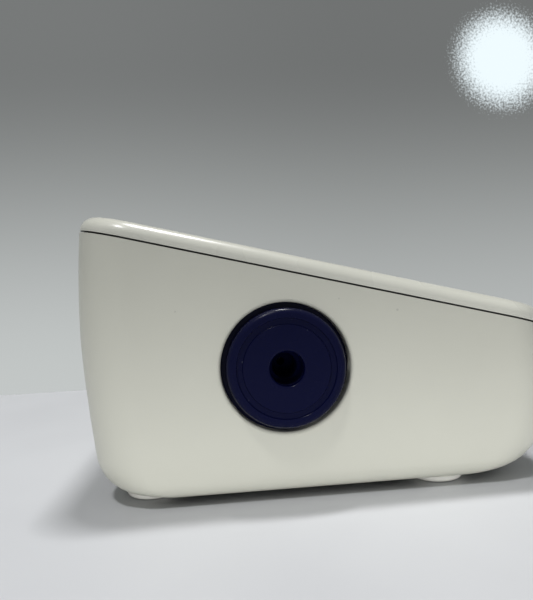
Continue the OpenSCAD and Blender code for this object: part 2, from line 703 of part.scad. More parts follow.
module motor_cushion() color(dark) translate([pump_x, 0, pump_z]) difference() {
    rod_y(cushion_r, 14, clamp_y + 10);
    rod_y(motor_r, 13, clamp_y + 11);
}

module pump_clamp() color(steel) difference() {
    union() {
        intersection() {
            translate([pump_x, 0, pump_z]) rod_y(cushion_r + clamp_t, clamp_y - clamp_w / 2, clamp_y + clamp_w / 2);
            block([-100, 0, clamp_left_z], [100, 60, 60]);
        }
        block([clamp_left - 4, clamp_y - clamp_w / 2, clamp_left_z],
            [pump_x - cushion_r + 1, clamp_y + clamp_w / 2, clamp_left_z + clamp_t]);
        block([pump_x + cushion_r - 1, clamp_y - clamp_w / 2, clamp_right_z],
            [clamp_right + 4, clamp_y + clamp_w / 2, clamp_right_z + clamp_t]);
    }
    translate([pump_x, 0, pump_z]) rod_y(cushion_r, 0, 60);
    for (x = [clamp_left, clamp_right]) translate([x, clamp_y, 0]) rod(screw_r + 0.15, 0, 60);
}

module screw(length, r, head_r, head_h) difference() {
    union() {
        rod(r, -eps, length);
        rod(head_r, -head_h, 0);
    }
    for (a = [0, 90]) rotate(a) block([-head_r * 0.6, -0.35, -head_h - 1], [head_r * 0.6, 0.35, -head_h + 1]);
}

module clamp_screws() color(steel) for (p = [[clamp_left, clamp_left_z], [clamp_right, clamp_right_z]])
    translate([p.x, clamp_y, p.y + clamp_t]) mirror([0, 0, 1])
        screw(clamp_t + 1.8, screw_r - 0.3, screw_head_r, screw_head_h);

module case_screws() color(steel) for (p = TOWERS)
    translate([p.x, p.y, seam_at(p.y) - tower_drop - tower_seat])
        screw(case_screw_l, screw_r, screw_head_r, screw_head_h);

module board_screws() color(steel) on_deck() for (p = BOARD_POSTS)
    translate([p.x, p.y, board_low]) screw(board_t + 4.6, 1, 2.2, 1.4);

// Valve, upright: coil in a steel frame, plunger and its spring on top
coil_r = 5.6;
valve_plunger_r = 2;
coil_low = floor_z + 4;
coil_high = floor_z + valve_h - 1.2;
plunger_low = coil_low + 1 + valve_travel;

module valve_frame() color(steel) translate([valve_x, valve_y, 0]) difference() {
    union() {
        block([-valve_w / 2, -valve_d / 2, floor_z], [valve_w / 2, valve_d / 2, floor_z + valve_h]);
        translate([0, 0, port_z]) rod_x(barb_r, -valve_w / 2 - 5.5, -valve_w / 2 + 0.5);
    }
    block([-valve_w / 2 + 1.2, -valve_d, coil_low - 0.1], [valve_w / 2 - 1.2, valve_d, coil_high + 0.1]);
    rod(valve_plunger_r + fit, coil_low - 2, floor_z + valve_h + 1);
    translate([0, 0, port_z]) rod_x(barb_bore_r, -valve_w, -valve_w / 2 + 2);
}

module valve_coil() color([0.6, 0.28, 0.16]) translate([valve_x, valve_y, 0]) difference() {
    union() {
        rod(coil_r - 1, coil_low, coil_high);
        for (z = [coil_low, coil_high - 1]) rod(coil_r, z, z + 1);
    }
    rod(valve_plunger_r + fit, coil_low - 1, coil_high + 1);
}

module valve_plunger() color(steel) translate([valve_x, valve_y, 0]) {
    rod(valve_plunger_r, plunger_low, spring_low + spring_l + 0.5);
    rod(spring_r + 0.6, spring_low + spring_l, spring_low + spring_l + 1);
}

spring_low = floor_z + valve_h;
spring_l = 4;
spring_r = 2.9;
spring_wire_r = 0.3;
spring_turns = 4;

module valve_spring() color(steel) translate([valve_x, valve_y, spring_low + spring_wire_r])
    tube([for (k = [0:spring_turns * 10]) [spring_r * cos(k * 36), spring_r * sin(k * 36),
        k / (spring_turns * 10) * (spring_l - 2 * spring_wire_r)]], [0, 0, 1], spring_wire_r, 0, 6);

// Cells
module cell(i) {
    turn = i % 2 == 0 ? 1 : -1;
    mid = (bay_front + bay_rear) / 2 + turn * 2.2;
    color(i % 2 == 0 ? [0.16, 0.17, 0.2] : [0.2, 0.2, 0.22])
    translate([bay_x + (i - 1.5) * cell_pitch, mid, cell_z]) rotate([turn > 0 ? -90 : 90, 0, 0]) {
        rod(cell_r, -cell_l / 2, cell_l / 2 - 1.4);
        rod(2.7, cell_l / 2 - 1.5, cell_l / 2);
    }
}

module battery_1() cell(0);
module battery_2() cell(1);
module battery_3() cell(2);
module battery_4() cell(3);

module contact_springs() color(steel) for (i = [0:3]) {
    turn = i % 2 == 0 ? 1 : -1;
    wall_y = turn > 0 ? bay_front + plate_m : bay_rear - plate_m;
    translate([bay_x + (i - 1.5) * cell_pitch, wall_y, cell_z]) rotate([turn > 0 ? -90 : 90, 0, 0])
        tube([for (k = [0:34]) let (a = k * 36, f = k / 34)
            [(4.8 - 1.7 * f) * cos(a), (4.8 - 1.7 * f) * sin(a), 0.4 + 3.6 * f]], [0, 0, 1], 0.4, 0, 6);
}

module contact_plates() color(brass) {
    for (y = [bay_front, bay_rear - plate_m]) for (i = [0:3])
        translate([bay_x + (i - 1.5) * cell_pitch, 0, 0])
            block([-5.5, y, cell_z - 5.5], [5.5, y + plate_m, cell_z + 5]);
}

module battery_door() color(ivory) {
    difference() {
        union() {
            block([bay_x - bay_half - door_ledge + free, bay_front - door_ledge + free, base_z],
                [bay_x + bay_half + door_ledge - free, hinge_y - 1.2, door_top]);
            block([bay_x - bay_half - door_ledge + free, hinge_y - 1.3, hinge_z - knuckle_r],
                [bay_x + bay_half + door_ledge - free, hinge_y, door_top]);
        }
        // grip ribs for the thumb
        for (i = [0:4]) block([bay_x - 8, bay_front + 3 + i * 1.8, 0],
            [bay_x + 8, bay_front + 3.9 + i * 1.8, base_z + 0.4]);
    }
    translate([bay_x, hinge_y, hinge_z]) {
        rod_x(knuckle_r, -bay_half - door_ledge + free, bay_half + door_ledge - free);
        rod_x(hinge_pin_r, -bay_half - door_ledge - hinge_pin_l + free, bay_half + door_ledge + hinge_pin_l - free);
    }
}

module power_jack() color(dark) translate([jack_x, 0, jack_z]) difference() {
    union() {
        block([-jack_w / 2, jack_rear - jack_l, -jack_h / 2], [jack_w / 2, jack_rear, jack_h / 2]);
        rod_y(jack_nose_r, jack_rear - 1, half_d - taper - 0.2);
    }
    rod_y(jack_d / 2, half_d - taper - 9.7, half_d);
}

module power_jack_pin() color(steel) translate([jack_x, 0, jack_z])
    rod_y(jack_pin_d / 2, half_d - taper - 9.7, half_d - taper - 1.4);

// Feet: a lens-shaped pad with a rounded lower edge, glued in a shallow pocket
module foot(i) color(foot_grey) translate([FEET[i].x, FEET[i].y, 0]) rotate_extrude()
    polygon(concat([[0, 0]], [for (a = [-90:15:0])
        [foot_d / 2 - foot_round + foot_round * cos(a), foot_rise + foot_rise * sin(a)]],
        [[foot_d / 2, base_z + foot_pocket], [0, base_z + foot_pocket]]));

module foot_front_left() foot(0);
module foot_front_right() foot(1);
module foot_rear_left() foot(2);
module foot_rear_right() foot(3);

// Pairs of wires, each through waypoints chosen by hand
module leads(waypoints, gap) for (k = [0, 1])
    color(k == 0 ? "firebrick" : dark)
        tube(spline([for (w = waypoints) w + k * gap], 3), [0, 0, 1], 0.55, 0, 6);

// Middle of the underside of a wire connector, less a hair
function plug_at(p) = [p.x, p.y * cos(slope) - (board_low - 6.05) * sin(slope),
    seam_height + p.y * sin(slope) + (board_low - 6.05) * cos(slope)];

module battery_leads() {
    plug = plug_at(PLUGS[1]) - [1, 0, 0];
    leads([[plug.x, bay_front + 2, 15], [plug.x, bay_front - bay_wall - 0.05, 15], 
        [plug.x, bay_front - bay_wall - 3, 16.2], [plug.x, bay_front - bay_wall - 3.6, 20.5], plug - 4.5 * deck_up, plug, plug + 4 * deck_up], [2, 0, 0]);
}

module motor_leads() {
    plug = plug_at(PLUGS[2]) - [1, 0, 0];
    leads([[-31, 39, 26], [-31, motor_front + motor_l + 0.05, 26], [-31.5, 46, 27.5], [-34, 46.6, 33],
        [-39.5, 42, 37.5], plug - 4 * deck_up, plug, plug + 4 * deck_up], [2, 0, 0]);
}

module jack_leads() {
    plug = plug_at(PLUGS[0]) - [1, 0, 0];
    leads([[-56, 40, 18.4], [-56, jack_rear - jack_l - 0.05, 18.4], [-55, 32.5, 20.8], [-53.4, 26.5, 25.6],
        [-49, 17, 29.5], [-42.5, 13, 31.5], plug - 3 * deck_up, plug, plug + 4 * deck_up], [2, 0, 0]);
}

lower_case();
top_cover();
display_lens();
lcd_panel();
lcd_frame();
zebra_strips();
main_board();
board_chips();
board_connectors();
tact_switches();
buzzer();
pressure_sensor();
air_socket();
socket_hose();
manifold();
pump_hose();
valve_hose();
sensor_hose();
pump_motor();
motor_rotor();
pump_head();
motor_cushion();
pump_clamp();
valve_frame();
valve_coil();
valve_plunger();
valve_spring();
battery_1();
battery_2();
battery_3();
battery_4();
contact_springs();
contact_plates();
battery_door();
power_jack();
power_jack_pin();
foot_front_left();
foot_front_right();
foot_rear_left();
foot_rear_right();
case_screws();
board_screws();
clamp_screws();
start_button();
start_plunger();
memory_button();
memory_plunger();
clock_button();
clock_plunger();
battery_leads();
motor_leads();
jack_leads();
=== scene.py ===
"""Table-top blood pressure monitor: fine forms and finishes of its pieces.

The console stands on its feet at z = 0, with its low front end at -Y and the round air
socket in its left wall at -X. Lengths in the functions below are in millimetres, and
become metres when a piece is placed in the frame.
"""

import math

import bmesh
import bpy
import numpy as np
from bpy.props import FloatProperty, FloatVectorProperty, PointerProperty
from mathutils import Matrix, Vector


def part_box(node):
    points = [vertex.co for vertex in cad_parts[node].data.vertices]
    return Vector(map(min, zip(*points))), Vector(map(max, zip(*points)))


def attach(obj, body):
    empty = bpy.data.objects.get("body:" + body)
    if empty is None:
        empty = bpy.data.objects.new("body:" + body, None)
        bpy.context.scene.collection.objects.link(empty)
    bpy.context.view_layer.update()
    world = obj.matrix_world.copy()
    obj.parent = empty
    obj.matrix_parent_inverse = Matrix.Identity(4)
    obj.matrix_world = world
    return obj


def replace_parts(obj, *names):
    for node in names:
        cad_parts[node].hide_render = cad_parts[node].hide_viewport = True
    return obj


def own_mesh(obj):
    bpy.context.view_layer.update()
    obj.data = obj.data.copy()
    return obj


bl_info = {
    "name": "Table-top blood pressure monitor",
    "version": (1, 0, 0),
    "blender": (4, 5, 0),
    "location": "3D View > Sidebar > Monitor",
    "description": "Builds the shells, air socket, display, buttons and inner works of a small monitor",
    "category": "Object",
}

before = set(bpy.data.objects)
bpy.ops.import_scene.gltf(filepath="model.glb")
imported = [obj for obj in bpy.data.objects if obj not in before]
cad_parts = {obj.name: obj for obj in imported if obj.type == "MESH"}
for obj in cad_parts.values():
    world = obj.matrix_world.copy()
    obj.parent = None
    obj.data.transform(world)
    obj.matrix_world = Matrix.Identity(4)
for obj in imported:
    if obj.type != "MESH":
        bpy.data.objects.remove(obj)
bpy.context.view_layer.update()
MM = 0.001

# places that the frame's solids share, in millimetres
PICTURE_WIDTH = 533
TOWER_X, TOWER_Y = 59, (27, -13)
POST_X, POST_Y = 49, (40, -42)
JACK_X, JACK_Z = -55, 14
MANIFOLD_X, AIR_Z = -47, 14
PUMP_X = -30
BUTTON_X = {"start": 34, "memory": -34, "clock": 0}
SKIRT_TOP, SKIRT_BACK = 1.5, 1.1
FEET = ("foot_front_left", "foot_front_right", "foot_rear_left", "foot_rear_right")


# ---------------------------------------------------------------- sizes and colours

def colour(text, value):
    """A colour that a user can change."""
    return FloatVectorProperty(name=text, description=text, subtype="COLOR", size=3, min=0, max=1,
                               default=value)


def length(text, value):
    """A length in millimetres that a user can change."""
    return FloatProperty(name=text, description=text + ", in millimetres", default=value, min=0)


class CaseSettings(bpy.types.PropertyGroup):
    """Sizes and colours of the lower case and the cover."""

    width: length("Width of the case", 140)
    depth: length("Depth of the case", 105.5)
    seam_height: length("Height of the seam at mid depth", 46.7)
    slope: FloatProperty(name="Slope", description="Slope of the top", subtype="ANGLE",
                         default=math.radians(14.2))
    base: length("Height of the underside above the table", 1.6)
    wall: length("Wall of the case", 2.3)
    floor: length("Floor of the case", 2.2)
    corner: length("Radius of the upright corners", 12)
    belly: length("Draw-in of the walls at the seam", 0.8)
    taper: length("Draw-in of the walls at the base", 2.6)
    side_edge: length("Lower edge radius of the side walls", 3.3)
    rear_edge: length("Lower edge radius of the rear wall", 8.6)
    front_edge: length("Lower edge radius of the front wall", 10.2)
    cover: length("Height of the cover above the seam", 3.9)
    cover_edge: length("Upper edge radius of the cover", 3)
    plate: length("Thickness of the cover's plate", 2.2)
    seam_gap: length("Open line between case and cover", 0.35)
    ivory: colour("Ivory plastic", (0.545, 0.545, 0.475))
    cover_ivory: colour("Ivory plastic of the cover", (0.60, 0.60, 0.53))


class SocketSettings(bpy.types.PropertyGroup):
    """Sizes and colour of the round air socket."""

    face: length("Diameter of the face", 25)
    hole: length("Diameter of the opening in the wall", 27.8)
    reach: length("Distance of the face from the middle of the case", 71.7)
    y: length("Distance of the axis behind mid depth", 8.6)
    z: length("Height of the axis", 28.6)
    mouth: length("Diameter of the mouth", 7.2)
    port: length("Diameter of the sealing bore", 5.4)
    navy: colour("Navy plastic", (0.0014, 0.0022, 0.020))


class PanelSettings(bpy.types.PropertyGroup):
    """Sizes and colours of the window, the display and the buttons."""

    lens_width: length("Width of the window", 90)
    lens_depth: length("Depth of the window", 60)
    lens_y: length("Place of the window up the slope", 14)
    button_y: length("Place of the buttons down the slope", 33.5)
    start: length("Diameter of the start button", 24)
    memory_width: length("Length of the memory button", 22)
    memory_depth: length("Width of the memory button", 10)
    clock: length("Diameter of the clock button", 7)
    rise: length("Height of the caps above the cover", 0.9)
    start_navy: colour("Start button", (0.010, 0.014, 0.085))
    grey: colour("Grey buttons", (0.36, 0.37, 0.37))
    border: colour("Printed border behind the window", (0.020, 0.026, 0.050))


class StageSettings(bpy.types.PropertyGroup):
    """Floor, wall, lamps and camera."""

    floor: colour("Floor", (0.62, 0.63, 0.65))
    wall: colour("Wall behind", (0.53, 0.555, 0.55))
    wall_x: length("Distance of the wall behind the middle", 109)
    focal: FloatProperty(name="Focal length", description="In pixels of a picture 533 wide",
                         default=557.2)


def settings():
    """All settings, with their defaults."""
    scene = bpy.context.scene
    return scene.case_settings, scene.socket_settings, scene.panel_settings, scene.stage_settings


# ---------------------------------------------------------------- finishes

class Wire:
    """A socket of a node tree that Python expressions can use."""

    def __init__(self, bench, socket):
        self.bench = bench
        self.socket = socket

    def maths(self, operation, first, second=0.0):
        return self.bench.node("Math", {"operation": operation}, {0: first, 1: second})

    def __add__(self, other):
        return self.maths("ADD", self, other)

    __radd__ = __add__

    def __sub__(self, other):
        return self.maths("SUBTRACT", self, other)

    def __rsub__(self, other):
        return self.maths("SUBTRACT", other, self)

    def __mul__(self, other):
        return self.maths("MULTIPLY", self, other)

    __rmul__ = __mul__

    def __truediv__(self, other):
        return self.maths("DIVIDE", self, other)

    def __pow__(self, other):
        return self.maths("POWER", self, other)

    def __gt__(self, other):
        return self.maths("GREATER_THAN", self, other)

    def __lt__(self, other):
        return self.maths("LESS_THAN", self, other)

    def swell(self, low, high, start=0.0, end=1.0):
        """Rises smoothly from start to end as the wire goes from low to high."""
        return self.bench.node("MapRange", {"interpolation_type": "SMOOTHSTEP"},
                               {"Value": self, "From Min": low, "From Max": high,
                                "To Min": start, "To Max": end})


class Bench:
    """A node tree while it is being put together."""

    def __init__(self, tree):
        self.tree = tree

    def plug(self, socket, value):
        """Puts a value, a wire or several wires on a socket."""
        if isinstance(value, Wire):
            self.tree.links.new(value.socket, socket)
        elif isinstance(value, list):
            for wire in reversed(value):
                self.tree.links.new(wire.socket, socket)
        elif socket.type == "RGBA" and len(value) == 3:
            socket.default_value = (*value, 1)
        else:
            socket.default_value = value

    def node(self, kind, setup, values, out=0):
        """Adds a node, with its settings first and then the values or wires of its sockets."""
        new = self.tree.nodes.new(kind if "Node" in kind else "ShaderNode" + kind)
        for key, value in setup.items():
            setattr(new, key, value)
        for key, value in values.items():
            self.plug(new.inputs[key], value)
        return Wire(self, new.outputs[out])

    def mix(self, share, first, second):
        """One colour into another."""
        return self.node("Mix", {"data_type": "RGBA"}, {0: share, 6: first, 7: second}, 2)

    def seen(self):
        """1 for rays that show the background, straight or by a mirror or clear thing, and 0 for light."""
        straight, mirrored, through = (self.node("LightPath", {}, {}, f"Is {kind} Ray")
                                       for kind in ("Camera", "Glossy", "Transmission"))
        return straight.maths("MAXIMUM", straight, mirrored.maths("MAXIMUM", mirrored, through))


class Finish(Bench):
    """A material on object coordinates."""

    def __init__(self, name, **plain):
        self.material = bpy.data.materials.new(name)
        self.material.use_nodes = True
        super().__init__(self.material.node_tree)
        self.tree.nodes.clear()
        self.shader = self.tree.nodes.new("ShaderNodeBsdfPrincipled")
        self.out = self.tree.nodes.new("ShaderNodeOutputMaterial")
        self.tree.links.new(self.shader.outputs[0], self.out.inputs["Surface"])
        self.place = self.node("TexCoord", {}, {}, "Object")
        for key, value in plain.items():
            self.set(key.replace("_", " ").title().replace("Ior", "IOR"), value)

    def set(self, socket, value):
        """Sets one socket of the shader."""
        self.plug(self.shader.inputs[socket], value)
        return self

    def noise(self, size, detail=2.0, stretch=(1, 1, 1), rough=0.5):
        """Soft noise whose features are about size millimetres across, from 0 to 1."""
        at = self.place
        if stretch != (1, 1, 1):
            at = self.node("Mapping", {}, {"Vector": at, "Scale": stretch})
        return self.node("TexNoise", {}, {"Vector": at, "Scale": 1 / (size * MM), "Detail": detail,
                                          "Roughness": rough})

    def cells(self, size):
        """Distance to scattered points about size millimetres apart."""
        return self.node("TexVoronoi", {}, {"Vector": self.place, "Scale": 1 / (size * MM)})

    def axis(self, index, turn=0.0):
        """One object coordinate in millimetres, in a frame turned about X."""
        at = self.place
        if turn:
            at = self.node("VectorRotate", {"rotation_type": "X_AXIS"}, {"Vector": at, "Angle": turn})
        return self.node("SeparateXYZ", {}, {"Vector": at}, index) * 1000.0

    def away(self, x, y, z):
        """Distance in millimetres from a point."""
        return self.node("VectorMath", {"operation": "DISTANCE"},
                         {0: self.place, 1: (x * MM, y * MM, z * MM)}, 1) * 1000.0

    def relief(self, height, depth, strength=1.0, under=None):
        """Bump of a height from 0 to 1 that is depth millimetres deep."""
        values = {"Height": height, "Distance": depth * MM, "Strength": strength}
        if under is not None:
            values["Normal"] = under
        return self.node("Bump", {}, values)

    def one_sided(self):
        """Lets light and sight through from behind."""
        back = self.node("NewGeometry", {}, {}, "Backfacing")
        clear = self.node("BsdfTransparent", {}, {})
        both = self.node("MixShader", {}, {0: back, 1: Wire(self, self.shader.outputs[0]), 2: clear})
        self.tree.links.new(both.socket, self.out.inputs["Surface"])
        return self


class Recipe(Bench):
    """A geometry tree with named sizes that ends in real faces of one finish."""

    def __init__(self, name, look, **sizes):
        super().__init__(bpy.data.node_groups.new(name, "GeometryNodeTree"))
        self.look = look
        self.keys = {}
        for way in ("INPUT", "OUTPUT"):
            self.tree.interface.new_socket("Geometry", in_out=way, socket_type="NodeSocketGeometry")
        for key, value in sizes.items():
            kind = "NodeSocketInt" if isinstance(value, int) else "NodeSocketFloat"
            socket = self.tree.interface.new_socket(key, in_out="INPUT", socket_type=kind)
            socket.default_value = value
            self.keys[key] = (socket.identifier, value)
        self.entry = self.tree.nodes.new("NodeGroupInput")

    def size(self, key):
        """A named size, or the geometry that comes in."""
        return Wire(self, self.entry.outputs[key])

    def end(self, shape):
        """Turns instances into faces and gives them the finish."""
        real = self.node("GeometryNodeRealizeInstances", {}, {0: shape})
        dressed = self.node("GeometryNodeSetMaterial", {},
                            {"Geometry": real, "Material": finish(self.look)})
        self.tree.links.new(dressed.socket, self.tree.nodes.new("NodeGroupOutput").inputs[0])
        return self

    def make(self, name, start):
        """Runs the tree on (points, edges) in millimetres and keeps its result as a plain mesh."""
        obj = as_object(name, as_mesh(name, start[0], edges=start[1]))
        change = obj.modifiers.new("recipe", "NODES")
        change.node_group = self.tree
        for identifier, value in self.keys.values():
            change[identifier] = value
        settle(obj)
        return obj


def settle(obj):
    """Keeps what an object's modifiers make as its plain mesh, and removes them."""
    bpy.context.view_layer.update()
    result = bpy.data.meshes.new_from_object(obj.evaluated_get(bpy.context.evaluated_depsgraph_get()))
    obj.modifiers.clear()
    old = obj.data
    obj.data = result
    bpy.data.meshes.remove(old)


def moulded(name, tint, rough, grain=0.35, grain_depth=0.006, mottle=0.008, coat=0.0):
    """Injection-moulded plastic: faint mottling, fine spark-eroded grain and a few dust specks.

    The faces inside the gap between case and cover are painted near black: painted shade for the shade that
    falls in that gap."""
    bench = Finish(name, roughness=rough, coat_weight=coat, coat_roughness=0.12)
    cloud = bench.noise(34, 3)
    dark = tuple(c * (1 - 2 * mottle) for c in tint)
    light = tuple(min(1, c * (1 + mottle)) for c in tint)
    base = bench.mix(cloud.swell(0.3, 0.7), dark, light)
    speck = (bench.cells(7.5) < 0.035) * (bench.noise(21, 1) > 0.55)
    base = bench.mix(speck * 0.35, base, tuple(c * 0.45 for c in tint))
    case = settings()[0]
    rise = bench.axis(2, -case.slope) - case.seam_height * math.cos(case.slope)
    # painted shade: faces within the seam gap are darkened to near black, standing in for the shade inside
    # the gap
    painted_gap_shade = (rise > -0.01) * (rise < case.seam_gap + 0.02)
    base = bench.mix(painted_gap_shade * 0.92, base, (0.02, 0.02, 0.018))
    bench.set("Base Color", base)
    bench.set("Roughness", bench.noise(16, 2).swell(0.1, 0.9, rough - 0.02, rough + 0.03))
    bench.set("Normal", bench.relief(bench.noise(grain, 2), grain_depth, 0.6,
                                     bench.relief(bench.noise(45, 1), 0.05, 0.4)))
    return bench.material


def rubber(name, tint, rough=0.62):
    """Soft elastomer with a fine matt skin and a trace of dust."""
    bench = Finish(name, roughness=rough)
    dust = bench.noise(2.4, 4).swell(0.55, 0.8)
    bench.set("Base Color", bench.mix(dust * 0.25, tint, tuple(min(1, c * 0.7 + 0.14) for c in tint)))
    bench.set("Roughness", bench.noise(3, 2).swell(0.3, 0.7, rough - 0.08, rough + 0.1))
    bench.set("Normal", bench.relief(bench.noise(0.3, 3), 0.012, 0.7))
    return bench.material


def metal(name, tint, rough=0.28, brushed=(1, 1, 1), tarnish=(0.35, 0.3, 0.24), tarnish_share=0.25):
    """Plated or turned metal with fine brushing and slight tarnish."""
    bench = Finish(name, metallic=1.0, roughness=rough)
    stain = bench.noise(4.5, 4).swell(0.5, 0.85)
    bench.set("Base Color", bench.mix(stain * tarnish_share, tint, tarnish))
    lines = bench.noise(0.9, 2, brushed)
    bench.set("Roughness", lines.swell(0.2, 0.8, rough - 0.08, rough + 0.14))
    bench.set("Normal", bench.relief(lines, 0.008, 0.5))
    return bench.material


FINISHES = {}


def finish(name):
    """The finish of that name, made once."""
    if name not in FINISHES:
        FINISHES[name] = MAKERS[name]()
    return FINISHES[name]


def navy_gloss(name, tint):
    """Glossy dark plastic with faint flow lines, hairline scuffs and dust."""
    bench = Finish(name, roughness=0.28, specular_ior_level=0.10)
    dust = bench.noise(0.8, 5, rough=0.7).swell(0.62, 0.8)
    lint = (bench.cells(3.1) < 0.05) * (bench.noise(9, 1) > 0.5)
    base = bench.mix(dust * 0.012 + lint * 0.12, tint, (0.30, 0.31, 0.36))
    bench.set("Base Color", base)
    socket = settings()[1]
    across, high = bench.axis(1) - socket.y, bench.axis(2) - socket.z
    bore_r, bore_start = 3.7, 1.5
    bore = ((across * across + high * high < bore_r ** 2)
            * (bench.axis(0) > -socket.reach + bore_start))
    bench.set("Roughness", bench.noise(6, 4).swell(0.3, 0.75, 0.19, 0.33) + bore * 0.6)
    bench.set("Normal", bench.relief(bench.noise(0.5, 2), 0.004, 0.5,
                                     bench.relief(bench.noise(9, 2), 0.02, 0.5)))
    return bench.material


def window_clear():
    """Clear acrylic with a dark border printed on its underside round the display."""
    case, _, panel, _ = settings()
    bench = Finish("window_acrylic", roughness=0.06, specular_ior_level=0.5)
    clear_x, clear_y, blur = 37.6, 23.6, 0.2
    along = bench.axis(0)
    up = bench.axis(1, -case.slope) - (panel.lens_y + case.seam_height * math.sin(case.slope))
    edge_x = ((along * along) ** 0.5).swell(clear_x, clear_x + blur)
    edge_y = ((up * up) ** 0.5).swell(clear_y, clear_y + blur)
    border = bench.node("Math", {"operation": "MAXIMUM"}, {0: edge_x, 1: edge_y})
    bench.set("Base Color", bench.mix(border, (0.75, 0.78, 0.80), tuple(panel.border)))
    bench.set("Alpha", border * 0.88 + 0.12)
    bench.set("Roughness", bench.noise(11, 3).swell(0.35, 0.8, 0.05, 0.12))
    bench.set("Normal", bench.relief(bench.noise(24, 2), 0.015, 0.4))
    return bench.material


def lcd_reflector():
    """Grey-green reflective display glass with a faint grainy polariser."""
    bench = Finish("lcd_glass", roughness=0.25)
    bench.set("Base Color", bench.mix(bench.noise(0.25, 2), (0.235, 0.27, 0.215), (0.285, 0.32, 0.26)))
    bench.set("Normal", bench.relief(bench.noise(0.2, 2), 0.002, 0.5))
    return bench.material


def circuit_green():
    """Green solder mask with traces and tinned pads showing through."""
    bench = Finish("solder_mask", roughness=0.3, coat_weight=0.3, coat_roughness=0.15)
    tracks = bench.node("TexBrick", {"offset": 0.37, "squash": 0.6, "squash_frequency": 3},
                        {"Vector": bench.place, "Scale": 210.0, "Mortar Size": 0.09, "Mortar Smooth": 0.1,
                         "Brick Width": 0.9, "Row Height": 0.22}, 1)
    pads = (bench.cells(2.6) < 0.22) * (bench.noise(11, 1) > 0.5)
    mask = bench.mix(tracks * 0.55, (0.008, 0.085, 0.035), (0.02, 0.17, 0.07))
    bench.set("Base Color", bench.mix(pads, mask, (0.62, 0.62, 0.60)))
    bench.set("Metallic", pads * 0.9)
    bench.set("Normal", bench.relief(tracks + pads, 0.03, 0.6))
    return bench.material


def winding_copper():
    """Enamelled wire laid in turns along the height of the coil."""
    bench = Finish("coil_winding", roughness=0.3, coat_weight=0.4, coat_roughness=0.1)
    turns = bench.node("Math", {"operation": "SINE"}, {0: bench.axis(2) * 25.0}) * 0.5 + 0.5
    bench.set("Base Color", bench.mix(turns, (0.16, 0.035, 0.012), (0.46, 0.14, 0.045)))
    bench.set("Metallic", turns * 0.5)
    bench.set("Normal", bench.relief(turns, 0.12, 1.0))
    return bench.material


def zebra():
    """Layered conductive strip: thin black and white stripes across its length."""
    bench = Finish("zebra_rubber", roughness=0.7)
    stripes = bench.node("Math", {"operation": "SINE"}, {0: bench.axis(0) * 9.0}).swell(-0.3, 0.3)
    bench.set("Base Color", bench.mix(stripes, (0.04, 0.04, 0.045), (0.55, 0.56, 0.57)))
    bench.set("Normal", bench.relief(stripes, 0.02, 0.6))
    return bench.material


def cell_wrap():
    """Shrink-sleeve of a cell: a plain dark film with slow changes of tone."""
    bench = Finish("cell_sleeve", roughness=0.25, coat_weight=0.4, coat_roughness=0.12)
    tone = bench.noise(60, 1).swell(0.45, 0.55)
    bench.set("Base Color", bench.mix(tone, (0.012, 0.013, 0.018), (0.03, 0.032, 0.04)))
    bench.set("Roughness", bench.noise(5, 4).swell(0.3, 0.8, 0.18, 0.34))
    bench.set("Normal", bench.relief(bench.noise(7, 2), 0.03, 0.5))
    return bench.material


MAKERS = {
    "case ivory": lambda: moulded("case_ivory", tuple(settings()[0].ivory), 0.36),
    "cover ivory": lambda: moulded("cover_ivory", tuple(settings()[0].cover_ivory), 0.27, grain=0.6,
                                   grain_depth=0.003, mottle=0.015, coat=0.15),
    "socket navy": lambda: navy_gloss("socket_navy", tuple(settings()[1].navy)),
    "button navy": lambda: navy_gloss("button_navy", tuple(settings()[2].start_navy)),
    "button grey": lambda: moulded("button_grey", tuple(settings()[2].grey), 0.4),
    "window": window_clear,
    "lcd": lcd_reflector,
    "segments": lambda: moulded("lcd_segments", (0.03, 0.035, 0.04), 0.35),
    "white": lambda: moulded("white_plastic", (0.72, 0.72, 0.69), 0.42),
    "black": lambda: moulded("black_plastic", (0.016, 0.016, 0.018), 0.42, grain_depth=0.012),
    "board": circuit_green,
    "zebra": zebra,
    "steel": lambda: metal("plated_steel", (0.60, 0.61, 0.62), 0.26, (1, 1, 9)),
    "brass": lambda: metal("contact_brass", (0.68, 0.55, 0.30), 0.3, (9, 1, 1)),
    "rotor": lambda: metal("rotor_brass", (0.62, 0.42, 0.22), 0.34, (1, 9, 1)),
    "copper": winding_copper,
    "foot": lambda: rubber("foot_rubber", (0.60, 0.595, 0.55), 0.5),
    "foam": lambda: rubber("cushion_rubber", (0.018, 0.018, 0.019), 0.85),
    "hose": lambda: rubber("silicone_hose", (0.60, 0.62, 0.60), 0.4),
    "cell": cell_wrap,
    "wire red": lambda: rubber("wire_red", (0.35, 0.012, 0.010), 0.42),
    "wire black": lambda: rubber("wire_black", (0.012, 0.012, 0.012), 0.42),
}


# ---------------------------------------------------------------- forms

def as_mesh(name, verts, faces=(), edges=()):
    """A mesh from points in millimetres."""
    mesh = bpy.data.meshes.new(name)
    mesh.from_pydata([tuple(c * MM for c in v) for v in verts], edges, faces)
    return mesh


def as_object(name, mesh):
    """An object of the scene that shows a mesh."""
    obj = bpy.data.objects.new(name, mesh)
    bpy.context.scene.collection.objects.link(obj)
    return obj


def place(name, form, body, look, angle=32.0, mend=False):
    """A mesh piece from points in millimetres, on a body, with its finish."""
    mesh = as_mesh(name, *form)
    if mend:
        work = bmesh.new()
        work.from_mesh(mesh)
        bmesh.ops.remove_doubles(work, verts=work.verts, dist=1e-7)
        bmesh.ops.recalc_face_normals(work, faces=work.faces)
        work.to_mesh(mesh)
        work.free()
    return dress(as_object(name, mesh), body, look, angle)


def dress(obj, body, look, angle=32.0, even=True):
    """Gives an object its finish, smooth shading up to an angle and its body."""
    obj.data.materials.clear()
    obj.data.materials.append(finish(look))
    obj.data.shade_smooth()
    obj.data.set_sharp_from_angle(angle=math.radians(angle))
    if even:
        steady(obj.data)
    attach(obj, body)
    return obj


